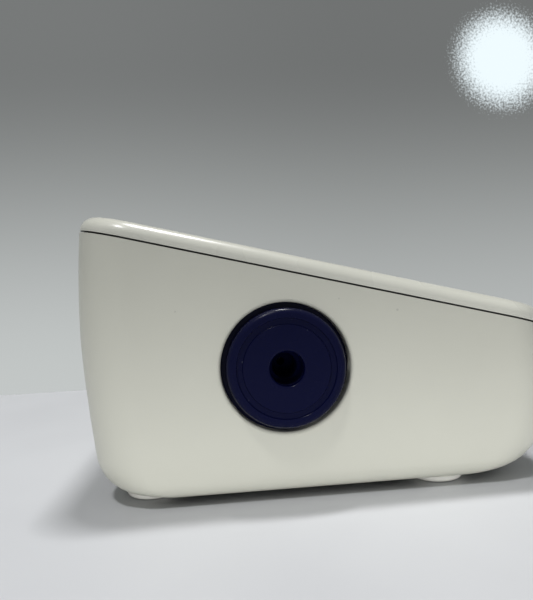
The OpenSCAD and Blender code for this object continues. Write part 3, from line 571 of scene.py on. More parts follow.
def steady(mesh, least=40.0, within=50.0):
    """Lets flat areas shade flat, with the rounded edges next to them starting from their direction."""
    areas, flats = {}, []
    for face in mesh.polygons:
        n = face.normal
        key = (round(n.x * 100), round(n.y * 100), round(n.z * 100), round(n.dot(face.center) / MM * 10))
        areas[key] = areas.get(key, 0.0) + face.area / MM ** 2
        flats.append((key, n.copy()))
    best = {}
    for face, (key, n) in zip(mesh.polygons, flats):
        if areas[key] > least:
            for v in face.vertices:
                if v not in best or areas[key] > best[v][0]:
                    best[v] = (areas[key], n)
    normals = [Vector(c.vector) for c in mesh.corner_normals]
    limit = math.cos(math.radians(within))
    for face, (_, n) in zip(mesh.polygons, flats):
        for corner, v in zip(face.loop_indices, face.vertices):
            if v in best and n.dot(best[v][1]) > limit:
                normals[corner] = best[v][1]
    mesh.normals_split_custom_set(normals)


def rings(loops, shut_low=True, shut_high=True, turn=False):
    """Points and faces of a skin over loops of equal length."""
    n = len(loops[0])
    verts = [tuple(p) for loop in loops for p in loop]
    faces = []
    for k in range(len(loops) - 1):
        for i in range(n):
            a, b = k * n + i, k * n + (i + 1) % n
            faces.append((a, b, b + n, a + n))
    if shut_low:
        faces.append(tuple(range(n - 1, -1, -1)))
    if shut_high:
        faces.append(tuple((len(loops) - 1) * n + i for i in range(n)))
    if turn:
        faces = [face[::-1] for face in faces]
    return verts, faces


def turned(profile, turns=96):
    """A form turned about z from (radius, height) points, closed on the axis where the radius is 0."""
    verts, faces, rows = [], [], []
    for r, h in profile:
        count = 1 if r < 1e-6 else turns
        rows.append(list(range(len(verts), len(verts) + count)))
        verts += [(0, 0, h)] if count == 1 else circle(r, h, turns)
    for low, high in zip(rows, rows[1:]):
        for k in range(turns):
            j = (k + 1) % turns
            if len(low) == 1 and len(high) == 1:
                continue
            if len(low) == 1:
                faces.append((low[0], high[j], high[k]))
            elif len(high) == 1:
                faces.append((low[k], low[j], high[0]))
            else:
                faces.append((low[k], low[j], high[j], high[k]))
    return verts, faces


def circle(r, z, turns):
    """Points of a circle about z."""
    steps = [2 * math.pi * k / turns for k in range(turns)]
    return [(r * math.cos(a), r * math.sin(a), z) for a in steps]


def arc(cx, cy, r, start, end, steps=6):
    """Points of an arc, angles in degrees."""
    return [(cx + r * math.cos(math.radians(start + (end - start) * i / steps)),
             cy + r * math.sin(math.radians(start + (end - start) * i / steps))) for i in range(steps + 1)]


def moved(form, matrix):
    """A form of (points, faces) carried by a matrix in millimetres."""
    return [tuple(matrix @ Vector(v)) for v in form[0]], form[1]


def box_of(node):
    """Lowest and highest corner of a CAD node, in millimetres."""
    return [Vector(c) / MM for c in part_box(node)]


def joined(*forms):
    """Several forms of (points, faces) as one."""
    verts, faces = [], []
    for v, f in forms:
        faces += [tuple(i + len(verts) for i in face) for face in f]
        verts += list(v)
    return verts, faces


def deck(x=0.0, y=0.0, v=0.0):
    """Matrix of the sloped top: its z is 0 on the seam."""
    case = settings()[0]
    return (Matrix.Translation((0, 0, case.seam_height)) @ Matrix.Rotation(case.slope, 4, "X")
            @ Matrix.Translation((x, y, v)))


def button_at(name):
    """Matrix of the sloped top at a button."""
    return deck(BUTTON_X[name], -settings()[2].button_y)


def along_x(x, y, z):
    """Matrix that lays a turned form's axis along +x."""
    return Matrix.Translation((x, y, z)) @ Matrix.Rotation(math.radians(90), 4, "Y")


def along_y(x, y, z, back=False):
    """Matrix that lays a turned form's axis along +y, or along -y."""
    return Matrix.Translation((x, y, z)) @ Matrix.Rotation(math.radians(90 if back else -90), 4, "X")


def between(p, q, k, count):
    """The point k steps of count on the way from p to q."""
    return p[0] + (q[0] - p[0]) * k / count, p[1] + (q[1] - p[1]) * k / count


def outline(half_x_rear, half_x_front, rear, front, r, steps=14, straight=10):
    """A rounded rectangle seen from above, with points along its straight sides too."""
    corners = []
    for q in range(4):
        for i in range(steps + 1):
            a = math.radians(90 * (q + i / steps))
            x = half_x_rear if q < 2 else half_x_front
            cx = x - r if q in (0, 3) else r - x
            cy = rear - r if q < 2 else r - front
            corners.append((cx + r * math.cos(a), cy + r * math.sin(a)))
    points = []
    for k, p in enumerate(corners):
        points.append(p)
        if k % (steps + 1) == steps:
            q = corners[(k + 1) % len(corners)]
            points += [between(p, q, i, straight) for i in range(1, straight)]
    return points


def seam_at(y):
    """Height of the seam plane."""
    case = settings()[0]
    return case.seam_height + y * math.tan(case.slope)


def edge_in(height, r):
    """How far a rounded lower edge draws in at a height above the underside."""
    return 0.0 if height >= r else r - math.sqrt(r * r - (r - height) ** 2)


def draw_in(t):
    """How far the walls draw in, from the seam (0) to the underside (1)."""
    case = settings()[0]
    level = 0.38
    if t < level:
        return case.belly * ((level - t) / level) ** 2
    return case.taper * ((t - level) / (1 - level)) ** 1.5


def wall_loop(t, inset=0.0):
    """The walls at one level."""
    case = settings()[0]
    low = case.base + (case.floor if inset > 0 else 0)
    half_x, half_y = case.width / 2, case.depth / 2
    rear_h = (1 - t) * (seam_at(half_y) - low)
    front_h = (1 - t) * (seam_at(-half_y) - low)
    d = draw_in(t) + inset
    side = case.side_edge - inset
    loop = outline(half_x - d - edge_in(rear_h, side), half_x - d - edge_in(front_h, side),
                   half_y - d - edge_in(rear_h, case.rear_edge - inset),
                   half_y - d - edge_in(front_h, case.front_edge - inset), case.corner - inset)
    return [(x, y, seam_at(y) * (1 - t) + low * t) for x, y in loop]


def deck_loop(v, inset):
    """A ring above the seam, at height v along the top's normal."""
    case = settings()[0]
    half_x, half_y = case.width / 2 - case.belly - inset, case.depth / 2 - case.belly - inset
    s, c = math.sin(case.slope), math.cos(case.slope)
    return [(x, y - v * s, seam_at(y) + v * c)
            for x, y in outline(half_x, half_x, half_y, half_y, case.corner - inset)]


def shrunk(loop, share):
    """A loop drawn towards its middle, so that a wide cap is made of even faces."""
    pts = np.array(loop)
    mid = pts.mean(axis=0)
    return [tuple(mid + (p - mid) * share) for p in pts]


def rect_loop(w, d, r, z, steps=6):
    """A flat rounded rectangle about the middle."""
    return [(x, y, z) for x, y in outline(w / 2, w / 2, d / 2, d / 2, r, steps, 6)]


def slab(w, d, r, low, high, soft=0.0, steps=6):
    """A flat plate with rounded corners and softened edges."""
    if soft <= 0:
        return rings([rect_loop(w, d, r, low, steps), rect_loop(w, d, r, high, steps)])
    loops = []
    for centre, start in ((low + soft, -90), (high - soft, 0)):
        for out, z in arc(0, centre, soft, start, start + 90, 4):
            less = soft - out
            loops.append(rect_loop(w - 2 * less, d - 2 * less, r - less, z, steps))
    return rings(loops)


def block(x0, x1, y0, y1, z0, z1):
    """A plain box between two corners."""
    return rings([[(x0, y0, z), (x1, y0, z), (x1, y1, z), (x0, y1, z)] for z in (z0, z1)])


def solid(name, form):
    """A bare mesh object for cutting, from points in millimetres."""
    obj = as_object(name, as_mesh(name, *form))
    bpy.context.view_layer.update()
    return obj


def carve(obj, tool, operation="DIFFERENCE"):
    """Cuts, joins or trims one mesh object by another, and removes the tool."""
    change = obj.modifiers.new("carve", "BOOLEAN")
    change.operation = operation
    change.solver = "EXACT"
    change.object = tool
    settle(obj)
    bpy.data.objects.remove(tool)


def copy_of(node, name):
    """A merged copy of a CAD node's mesh."""
    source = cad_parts[node]
    mesh = source.data.copy()
    mesh.name = name
    form = bmesh.new()
    form.from_mesh(mesh)
    bmesh.ops.remove_doubles(form, verts=form.verts, dist=2e-6)
    form.to_mesh(mesh)
    form.free()
    return as_object(name, mesh)


def refined(node, look, body="console", soft=0.0, angle=32.0):
    """A CAD node's own form with merged faces, softened edges and even shading."""
    obj = copy_of(node, node + "_form")
    form = bmesh.new()
    form.from_mesh(obj.data)
    bmesh.ops.dissolve_limit(form, angle_limit=math.radians(0.5), verts=form.verts, edges=form.edges)
    if soft > 0:
        sharp = [e for e in form.edges
                 if len(e.link_faces) == 2 and e.calc_face_angle(0) > math.radians(40)]
        bmesh.ops.bevel(form, geom=sharp, offset=soft * MM, segments=2, profile=0.5, affect="EDGES",
                        clamp_overlap=True)
    form.to_mesh(obj.data)
    form.free()
    dress(obj, body, look, angle)
    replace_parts(obj, node)
    return obj


# ---------------------------------------------------------------- stage

def camera_matrix(at, yaw, pitch, roll):
    """Looks along +x, turned towards -y by yaw, up by pitch and over by roll, in degrees."""
    yaw, pitch, roll = (math.radians(a) for a in (yaw, pitch, roll))
    ahead = Vector((math.cos(yaw) * math.cos(pitch), -math.sin(yaw) * math.cos(pitch), math.sin(pitch)))
    right = ahead.cross(Vector((0, 0, 1))).normalized()
    up = right.cross(ahead)
    across = right * math.cos(roll) + up * math.sin(roll)
    above = up * math.cos(roll) - right * math.sin(roll)
    turn = Matrix((across, above, -ahead)).transposed().to_4x4()
    return Matrix.Translation(Vector(at) * MM) @ turn


class MONITOR_OT_stage(bpy.types.Operator):
    """Camera, floor, wall and lamps"""

    bl_idname = "monitor.stage"
    bl_label = "Stage"

    def execute(self, context):
        stage = context.scene.stage_settings
        lens = bpy.data.cameras.new("camera")
        lens.sensor_fit = "HORIZONTAL"
        lens.sensor_width = 36
        lens.lens = lens.sensor_width * stage.focal / PICTURE_WIDTH
        lens.clip_start = 0.01
        camera = as_object("camera", lens)
        camera.matrix_world = camera_matrix((-185.1, 20.79, 43.78), 4.36, -0.44, -3.02)
        context.scene.camera = camera
        self.set_ground(stage)
        self.set_lamps()
        context.scene.view_settings.view_transform = "Standard"
        return {"FINISHED"}

    def set_ground(self, stage):
        """Floor with faint mottling and dust, and a board that stands on it behind the object and glows with
        painted shade and a painted highlight for the camera and mirrors only.
        """
        far, low = 1500, -0.02
        floor = solid("floor", ([(-far, -far, low), (far, -far, low), (far, far, low), (-far, far, low)],
                                [(0, 1, 2, 3)]))
        bench = Finish("floor_board", roughness=0.42, specular_ior_level=0.35)
        pale = tuple(stage.floor)
        cloud = bench.mix(bench.noise(90, 3).swell(0.35, 0.65), pale, tuple(c * 0.94 for c in pale))
        dust = (bench.cells(26) < 0.018) * (bench.noise(60, 1) > 0.52)
        bench.set("Base Color", bench.mix(dust * 0.6, cloud, (0.2, 0.2, 0.2)))
        bench.set("Normal", bench.relief(bench.noise(1.6, 2), 0.01, 0.3))
        floor.data.materials.append(bench.one_sided().material)
        corners = ((-far, 0), (far, 0), (far, far), (-far, far))
        wall = solid("wall", ([(stage.wall_x, y, z) for y, z in corners], [(0, 3, 2, 1)]))
        bench = Finish("wall_board", roughness=0.6, base_color=(0.02, 0.02, 0.02), specular_ior_level=0.0,
                       emission_strength=1.0)
        # painted shade: the wall's glow darkens upward, to about a third at 170 mm, standing in for light
        # falling off
        painted_fade = bench.axis(2).swell(0, 170)
        shade = bench.mix(painted_fade, tuple(stage.wall), tuple(c * 0.32 for c in stage.wall))
        # painted shade: the wall's glow darkens a little towards -Y
        shade = bench.mix(bench.axis(1).swell(110, -70) * 0.13, shade, (0.0, 0.0, 0.0))
        # painted highlight: a bright blotchy spot high on the wall, standing in for a lamp's reflection
        painted_highlight = bench.away(stage.wall_x, -137.5, 166) + (bench.noise(1.1, 2) - 0.5) * 22.0
        shade = bench.mix(painted_highlight.swell(31, 15), shade, (0.86, 0.96, 1.0))
        # the wall shows this painted light only to camera, mirror and see-through rays, and lights nothing
        bench.set("Emission Color", bench.mix(bench.seen(), (0, 0, 0), shade))
        wall.data.materials.append(bench.one_sided().material)

    def set_lamps(self):
        """Two soft lamps above, a low one for the floor's bounce on the walls, and a plain world."""
        world = bpy.data.worlds.new("plain")
        bpy.context.scene.world = world
        world.use_nodes = True
        bench = Bench(world.node_tree)
        sky = bench.mix(bench.seen(), (0.24, 0.245, 0.25), (0.52, 0.53, 0.54))
        bench.plug(world.node_tree.nodes["Background"].inputs["Color"], sky)
        for name, at, aim, size, power in (
                ("front", (-0.33, 0.22, 0.75), (-0.05, 0, 0), (0.07, 0.07), 2.3),
                ("over", (0.02, -0.03, 0.75), (0, 0, 0), (0.05, 0.12), 3.6),
                ("low", (-0.150, -0.01, 0.012), (-0.09, -0.01, -0.071), (0.34, 0.010), 0.175)):
            light = bpy.data.lights.new(name, "AREA")
            light.shape = "RECTANGLE"
            light.energy = power
            light.size, light.size_y = size
            lamp = as_object(name, light)
            lamp.location = at
            lamp.rotation_euler = (Vector(aim) - Vector(at)).to_track_quat("-Z", "Y").to_euler()
            lamp.visible_camera = False
        lamp.visible_glossy = False
        dark = bpy.data.collections.new("not lit by the low lamp")
        for name in ("floor", "wall"):
            dark.objects.link(bpy.data.objects[name])
        for entry in dark.collection_objects:
            entry.light_linking.link_state = "EXCLUDE"
        lamp.light_linking.receiver_collection = dark


# ---------------------------------------------------------------- shells

class MONITOR_OT_case(bpy.types.Operator):
    """Lower case: smooth outer skin round the towers, bay and cradles of the frame"""

    bl_idname = "monitor.case"
    bl_label = "Lower case"

    def execute(self, context):
        case, socket, _, _ = settings()
        levels = 44
        outer = [wall_loop(1 - (k / levels) ** 1.7) for k in range(levels + 1)]
        inner = [wall_loop(1 - (k / levels) ** 1.7, case.wall) for k in range(levels, -1, -2)]
        low = [shrunk(outer[0], s) for s in (0.25, 0.5, 0.75)]
        high = [shrunk(inner[-1], s) for s in (0.75, 0.5, 0.25)]
        skin = rings(low + outer + [deck_loop(0, 0.12), deck_loop(0, SKIRT_BACK),
                                    deck_loop(SKIRT_TOP, SKIRT_BACK),
                                    deck_loop(SKIRT_TOP, case.wall)] + inner + high)
        shell = solid("case_shell", skin)
        lip = self.lip(case, socket)
        hole = socket.hole / 2
        cutters = [(turned([(0, -3), (hole + 0.5, -3), (hole + 0.5, 12), (0, 12)], 128),
                    along_x(-case.width / 2 - 2, socket.y, socket.z))]
        low, high = box_of("battery_door")
        pin, mid = 0.95, (low.x + high.x) / 2
        cutters.append((block(low.x + pin, high.x - pin, low.y - 0.25, high.y + 0.8, -1, 5.4), Matrix()))
        well = turned([(0, -1), (3.1, -1), (3.1, 6), (0, 6)], 48)
        cutters += [(well, Matrix.Translation((x, y, 0))) for y in TOWER_Y for x in (-TOWER_X, TOWER_X)]
        cutters.append((turned([(0, -4), (4.3, -4), (4.3, 8), (0, 8)], 64),
                        along_y(JACK_X, case.depth / 2 - 2, JACK_Z)))
        carve(shell, solid("cutters", joined(*[moved(form, matrix) for form, matrix in cutters])))
        notch = block(mid - 9, mid + 9, low.y - 5, low.y + 1, -1, case.base + 1.4)
        carve(shell, solid("notch", notch))
        seats = []
        for node in FEET:
            r, _, centre = foot_at(node)
            start = (r + 0.1, case.base + 0.05)
            ring = turned([start, (r + 0.6, case.base + 0.05), (r + 0.7, case.base + 0.15), (r + 0.7, 4.5),
                           (r + 0.1, 4.5), start], 96)
            seats.append(moved(ring, centre))
        fittings = copy_of("lower_case", "fittings")
        inner_skin = rings([[(x, y, z - 0.45 * (1 - (k / 20) ** 1.7)) for x, y, z in
                             wall_loop(1 - (k / 20) ** 1.7, case.wall - 0.25)] for k in range(21)]
                           + [deck_loop(1.2, case.wall - 0.25)])
        carve(fittings, solid("hollow", inner_skin), "INTERSECT")
        mend_into(shell, fittings, lip, *seats)
        dress(shell, "console", "case ivory")
        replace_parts(shell, "lower_case")
        return {"FINISHED"}

    def lip(self, case, socket):
        """Rounded edge of the socket's opening, which follows the drawn-in wall."""
        r, soft, n = socket.hole / 2 - 0.2, 0.75, 128

        def wall_x(y, z):
            t = (seam_at(y) - z) / (seam_at(y) - case.base)
            return -case.width / 2 + draw_in(t)

        starts = [wall_x(socket.y + u, socket.z + v) for u, v, _ in circle(r + soft, 0, n)]
        loops = []
        for out, sink in [(soft + 0.15, 0.03)] + arc(soft, soft, soft, -90, -180) + [(0, 4.6)]:
            loops.append([(x + sink, socket.y + u, socket.z + v)
                          for x, (u, v, _) in zip(starts, circle(r + out, 0, n))])
        return rings(loops, False, False, turn=True)


def mend_into(obj, *parts):
    """Joins further mesh objects or (points, faces) into one object."""
    form = bmesh.new()
    form.from_mesh(obj.data)
    for part in parts:
        if isinstance(part, tuple):
            mesh = as_mesh("part", *part)
        else:
            mesh = part.data
            bpy.data.objects.remove(part)
        form.from_mesh(mesh)
        bpy.data.meshes.remove(mesh)
    form.to_mesh(obj.data)
    form.free()


class MONITOR_OT_cover(bpy.types.Operator):
    """Top cover: rounded plate with the window's recess and the button openings"""

    bl_idname = "monitor.cover"
    bl_label = "Top cover"

    def execute(self, context):
        case, _, panel, _ = settings()
        edge = case.cover_edge
        skin = [deck_loop(case.seam_gap, 0.12), deck_loop(case.seam_gap + 0.04, 0.03),
                deck_loop(case.seam_gap + 0.12, 0.0)]
        skin += [deck_loop(v, inset) for inset, v in arc(edge, case.cover - edge, edge, 180, 90, 15)]
        skin.append(deck_loop(case.cover, edge + 0.5))
        top = [shrunk(skin[-1], s) for s in (0.75, 0.5, 0.25)]
        under = case.cover - case.plate
        inside = [deck_loop(under, case.wall + 0.01), deck_loop(SKIRT_TOP, case.wall + 0.01),
                  deck_loop(SKIRT_TOP, SKIRT_BACK - 0.1), deck_loop(case.seam_gap, SKIRT_BACK - 0.1)]
        ceiling = [shrunk(inside[0], s) for s in (0.25, 0.5, 0.75)]
        shell = solid("cover_shell", rings(skin + top + ceiling + inside, False, False))
        self.close(shell, len(skin + top), len(skin + top + ceiling + inside), len(skin[0]))
        room = 0.25
        recess = slab(panel.lens_width + 0.2, panel.lens_depth + 0.2, 5, case.cover - 1.2,
                      case.cover + 2, 0.0, 14)
        view = slab(80, 50, 2, -2, case.cover + 1)
        start, clock = (turned(self.opening(width / 2 + room, case.cover), turns)
                        for width, turns in ((panel.start, 128), (panel.clock, 64)))
        memory = pill_form(panel.memory_width + 2 * room, panel.memory_depth + 2 * room,
                           self.opening(0, case.cover)[1:-1])
        for form, matrix in ((recess, deck(0, panel.lens_y)), (view, deck(0, panel.lens_y)),
                             (start, button_at("start")), (clock, button_at("clock")),
                             (memory, button_at("memory"))):
            carve(shell, solid("opening", moved(form, matrix)))
        fittings = copy_of("top_cover", "ribs")
        below = moved(block(-80, 80, -80, 80, -60, under + 0.2), deck())
        carve(fittings, solid("below", below), "INTERSECT")
        inner = rings([deck_loop(v, case.wall + 0.02) for v in (-40, under + 0.3)])
        carve(fittings, solid("within", inner), "INTERSECT")
        mend_into(shell, fittings)
        dress(shell, "console", "cover ivory")
        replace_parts(shell, "top_cover")
        return {"FINISHED"}

    def opening(self, r, top):
        """Profile of a hole with a softened upper edge."""
        soft = 0.35
        return ([(0, -9), (r, -9)] + arc(r + soft, top - soft, soft, 180, 90)
                + [(r + soft + 0.01, top + 1), (0, top + 1)])

    def close(self, shell, first, total, n):
        """Closes the plate's top and underside and the skirt's lower rim."""
        form = bmesh.new()
        form.from_mesh(shell.data)
        form.verts.ensure_lookup_table()
        for f in [f for f in form.faces if {v.index // n for v in f.verts} == {first - 1, first}]:
            form.faces.remove(f)
        form.faces.new([form.verts[(first - 1) * n + i] for i in range(n)])
        form.faces.new([form.verts[first * n + i] for i in range(n - 1, -1, -1)])
        last = (total - 1) * n
        for i in range(n):
            j = (i + 1) % n
            form.faces.new([form.verts[k] for k in (last + i, last + j, j, i)])
        bmesh.ops.recalc_face_normals(form, faces=form.faces)
        form.to_mesh(shell.data)
        form.free()


def pill_form(w, d, profile, turns=32):
    """A flat form with round ends whose edge follows a profile of (growth, height)."""
    loops = []
    for grow, z in profile:
        r = d / 2 + grow
        half = (w - d) / 2
        loop = []
        for side in (1, -1):
            for k in range(turns + 1):
                a = math.pi * (k / turns - 0.5) + (0 if side > 0 else math.pi)
                loop.append((side * half + r * math.cos(a), r * math.sin(a), z))
        loops.append(loop)
    return rings(loops)


# ---------------------------------------------------------------- air socket and feet

class MONITOR_OT_socket(bpy.types.Operator):
    """Round air socket with its ring groove and stepped hole"""

    bl_idname = "monitor.socket"
    bl_label = "Air socket"

    def execute(self, context):
        case, socket, _, _ = settings()
        face = -socket.reach
        seat = -case.width / 2 + 4 - face
        mouth, port, disc = socket.mouth / 2, socket.port / 2, socket.face / 2
        end = 6 + 8 + 0.8
        flange = socket.hole / 2 + 1.9
        profile = [(0.9, end + 7), (0.9, 14), (port, 14)] + arc(port + 0.25, 6.25, 0.25, 180, 270, 3)
        profile += [(mouth - 0.2, 6.0), (mouth, 5.8)]
        profile += arc(mouth + 0.5, 0.5, 0.5, 180, 270, 9)
        profile += arc(8.96, 0.18, 0.18, -90, 0, 4) + [(9.25, 0.40), (9.4, 0.46), (10.2, 0.46), (10.35, 0.40)]
        profile += arc(10.62, 0.18, 0.18, 180, 270, 4) + arc(disc - 1.4, 1.4, 1.4, -90, 0, 15)
        profile += [(disc, seat), (flange, seat), (flange, seat + 1.6), (5, seat + 1.6), (5, end), (1.6, end)]
        for k in (0, 1, 2):
            profile += [(1.5, end + 0.4 + 2 * k), (1.65, end + 0.8 + 2 * k), (1.65, end + 1.1 + 2 * k),
                        (1.5, end + 2 + 2 * k)]
        profile += [(1.4, end + 7)]
        form = moved(turned(profile + [profile[0]], 160), along_x(face, socket.y, socket.z))
        body = place("socket_body", form, "console", "socket navy", 28, mend=True)
        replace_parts(body, "air_socket")
        return {"FINISHED"}


def foot_at(node):
    """Radius, top and place of a foot."""
    low, high = box_of(node)
    return ((high.x - low.x) / 2, high.z,
            Matrix.Translation(((low.x + high.x) / 2, (low.y + high.y) / 2, 0)))


class MONITOR_OT_feet(bpy.types.Operator):
    """Four round feet"""

    bl_idname = "monitor.feet"
    bl_label = "Feet"

    def execute(self, context):
        for node in FEET:
            r, top, centre = foot_at(node)
            rim = [(r - 1.6 + 1.6 * c, 0.95 + 0.95 * s) for c, s in arc(0, 0, 1, -90, 0, 10)]
            dimple = [(0, 0.35), (2.2, 0.32), (2.9, 0.1), (3.2, 0.0)]
            form = turned(dimple + rim + [(r, top - 0.1), (r - 0.1, top), (0, top)], 96)
            pad = place(node + "_pad", moved(form, centre), "console", "foot")
            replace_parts(pad, node)
        return {"FINISHED"}


# ---------------------------------------------------------------- display

class MONITOR_OT_display(bpy.types.Operator):
    """Window, display glass with its digits, frame and contact strips"""

    bl_idname = "monitor.display"
    bl_label = "Display"

    def execute(self, context):
        case, _, panel, _ = settings()
        middle = deck(0, panel.lens_y)
        pane = slab(panel.lens_width, panel.lens_depth, 4.9, case.cover - 1.2, case.cover, 0.22, 14)
        window = place("window_pane", moved(pane, middle), "console", "window", 40)
        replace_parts(window, "display_lens")
        refined("lcd_panel", "lcd", soft=0.12)
        refined("lcd_frame", "white", soft=0.2)
        refined("zebra_strips", "zebra", soft=0.1)
        marks = self.numbers() + self.scale()
        form = joined(*[rings([[(x, v, z) for x, v in mark] for z in (1.6, 1.66)]) for mark in marks])
        place("display_digits", moved(form, middle), "console", "segments", 20)
        return {"FINISHED"}

    def numbers(self):
        """Bars of three rows of digits: top, right high and low, bottom, left low and high, middle."""
        lit = {"1": (1, 2), "2": (0, 1, 6, 4, 3), "6": (0, 5, 4, 3, 2, 6), "7": (0, 1, 2), "8": range(7)}
        marks = []
        for text, right, base, high in (("118", 33, 6, 15), ("76", 33, -11, 12), ("62", 33, -22, 7.5)):
            wide = high * 0.52
            for k, digit in enumerate(reversed(text)):
                left = right - wide - k * (wide + high * 0.2)
                marks += [self.bar(left, base, wide, high, bar) for bar in lit[digit]]
        return marks

    def bar(self, left, base, wide, high, bar):
        """One bar of a digit, as a long hexagon."""
        t = high * 0.075
        mid, top, right = base + high / 2, base + high, left + wide
        x0, y0, x1, y1 = ((left, top, right, top), (right, mid, right, top), (right, base, right, mid),
                          (left, base, right, base), (left, base, left, mid), (left, mid, left, top),
                          (left, mid, right, mid))[bar]
        g = t * 0.35
        if y0 == y1:
            return [(x0 + g, y0), (x0 + g + t, y0 - t), (x1 - g - t, y0 - t), (x1 - g, y0),
                    (x1 - g - t, y0 + t), (x0 + g + t, y0 + t)]
        return [(x0, y0 + g), (x0 + t, y0 + g + t), (x0 + t, y1 - g - t), (x0, y1 - g),
                (x0 - t, y1 - g - t), (x0 - t, y0 + g + t)]

    def scale(self):
        """Level marks down the left side, row lines and a plain beating heart."""
        marks = [[(-34, v), (-29, v), (-29, v + 2.6), (-34, v + 2.6)] for v in (-22, -18, -14, -10)]
        marks += [[(-25, v), (34, v), (34, v + 0.25), (-25, v + 0.25)] for v in (3.2, -13.0)]
        heart = []
        for k in range(40):
            a = 2 * math.pi * k / 40
            x = 16 * math.sin(a) ** 3
            v = 13 * math.cos(a) - 5 * math.cos(2 * a) - 2 * math.cos(3 * a) - math.cos(4 * a)
            heart.append((-16 - 0.2 * x, -19 + 0.2 * v))
        return marks + [heart]


# ---------------------------------------------------------------- buttons

class MONITOR_OT_buttons(bpy.types.Operator):
    """Start, memory and clock buttons with their printed signs and switch plungers"""

    bl_idname = "monitor.buttons"
    bl_label = "Buttons"

    def execute(self, context):
        case, _, panel, _ = settings()
        top, flange = case.cover + panel.rise, case.cover - case.plate - 1.3
        heights = (top, flange, flange - 1.9)
        self.round_cap("start", panel.start / 2, 1.0, 0.8, heights, "button navy", "button_navy")
        self.round_cap("clock", panel.clock / 2, 0.5, 0.0, heights, "button grey", "button_grey")
        self.long_cap(panel, heights)
        self.signs(top)
        for name in ("start", "memory", "clock"):
            refined(name + "_plunger", "white", name + "_button", 0.15)
        return {"FINISHED"}

    def round_cap(self, name, r, edge, dish, heights, look, slot):
        """A turned cap: stem, flange, side, rounded edge and dished top."""
        top, flange, stem = heights
        profile = [(0, stem), (2.0, stem), (2.2, stem + 0.2), (2.2, flange - 1), (r + 1.1, flange - 1),
                   (r + 1.2, flange - 0.9), (r + 1.2, flange - 0.1), (r + 1.1, flange), (r, flange)]
        profile += arc(r - edge, top - edge, edge, 0, 90, 10)
        for k in range(11, -1, -1):
            at = (r - edge) * k / 12
            profile.append((at, top - dish * (1 - (at / (r - edge)) ** 2)))
        form = moved(turned(profile, 128), button_at(name))
        cap = place(name + "_cap", form, name + "_button", look, 30)
        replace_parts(cap, name + "_button")

    def long_cap(self, panel, heights):
        """The memory cap, with round ends and a slightly crowned top."""
        top, flange, stem = heights
        profile = [(1.2, flange - 1), (1.2, flange), (0, flange)] + arc(-0.5, top - 0.6, 0.5, 0, 90, 9)
        profile += [(-1.2, top - 0.05), (-2.2, top - 0.01), (-3.4, top), (-4.4, top)]
        cap = pill_form(panel.memory_width, panel.memory_depth, profile)
        leg = turned([(0, stem), (2.2, stem), (2.2, flange - 0.9), (0, flange - 0.9)], 48)
        form = moved(joined(cap, leg), button_at("memory"))
        piece = place("memory_cap", form, "memory_button", "button grey", 30)
        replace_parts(piece, "memory_button")

    def signs(self, top):
        """Plain printed signs: a standby ring, three bars and a clock face."""
        ring = [arc(0, 0, 3.4, 125, 415, 58), [(0, 1.2), (0, 4.3)]]
        self.sign("start", ring, 0.34, lambda r: top - 0.8 * (1 - (r / 11) ** 2), "button_navy", "white")
        bars = [[(-2.6, v), (2.6, v)] for v in (-1.5, 0, 1.5)]
        self.sign("memory", bars, 0.26, lambda r: top, "button_grey", "segments")
        face = [arc(0, 0, 1.7, 0, 360, 24), [(0.8, 0), (0, 0), (0, 1.1)]]
        self.sign("clock", face, 0.16, lambda r: top, "button_grey", "segments")

    def sign(self, name, lines, r, height, slot, look):
        """Lines drawn on a cap, sunk into it by most of their radius."""
        matrix = button_at(name)
        points = [[tuple(matrix @ Vector((u, v, height(math.hypot(u, v)) - r * 0.82)))
                   for u, v in self.fine(line)] for line in lines]
        drawn(name + "_sign", points, r, 8, name + "_button", look)

    def fine(self, line):
        """A line with points at most half a millimetre apart."""
        out = [line[0]]
        for a, b in zip(line, line[1:]):
            n = max(1, math.ceil(math.dist(a, b) / 0.5))
            out += [between(a, b, k, n) for k in range(1, n + 1)]
        return out


# ---------------------------------------------------------------- wires, hoses and springs

def drawn(name, paths, radius, sides, body, look):
    """Round wire of one radius along paths, made by the wire recipe."""
    verts, edges = [], []
    for path in paths:
        start = len(verts)
        verts += path
        edges += [(start + k, start + k + 1) for k in range(len(path) - 1)]
    recipe = Recipe("wire", look, Radius=radius * MM, Sides=sides)
    line = recipe.node("GeometryNodeMeshToCurve", {}, {0: recipe.size("Geometry")})
    ring = recipe.node("GeometryNodeCurvePrimitiveCircle", {},
                       {"Resolution": recipe.size("Sides"), "Radius": recipe.size("Radius")})
    recipe.end(recipe.node("GeometryNodeCurveToMesh", {},
                           {"Curve": line, "Profile Curve": ring, "Fill Caps": True}))
    return dress(recipe.make(name, (verts, edges)), body, look, 60, even=False)


def smooth(points, steps):
    """Points of a smooth curve through waypoints (Catmull-Rom); the first and last only steer it."""
    w = [Vector(p) for p in points]
    out = []
    for a, b, c, d in zip(w, w[1:], w[2:], w[3:]):
        for k in range(steps):
            t = k / steps
            out.append(0.5 * (2 * b + (c - a) * t + (2 * a - 5 * b + 4 * c - d) * t * t
                              + (3 * b - a - 3 * c + d) * t ** 3))
    return out + [w[-2]]


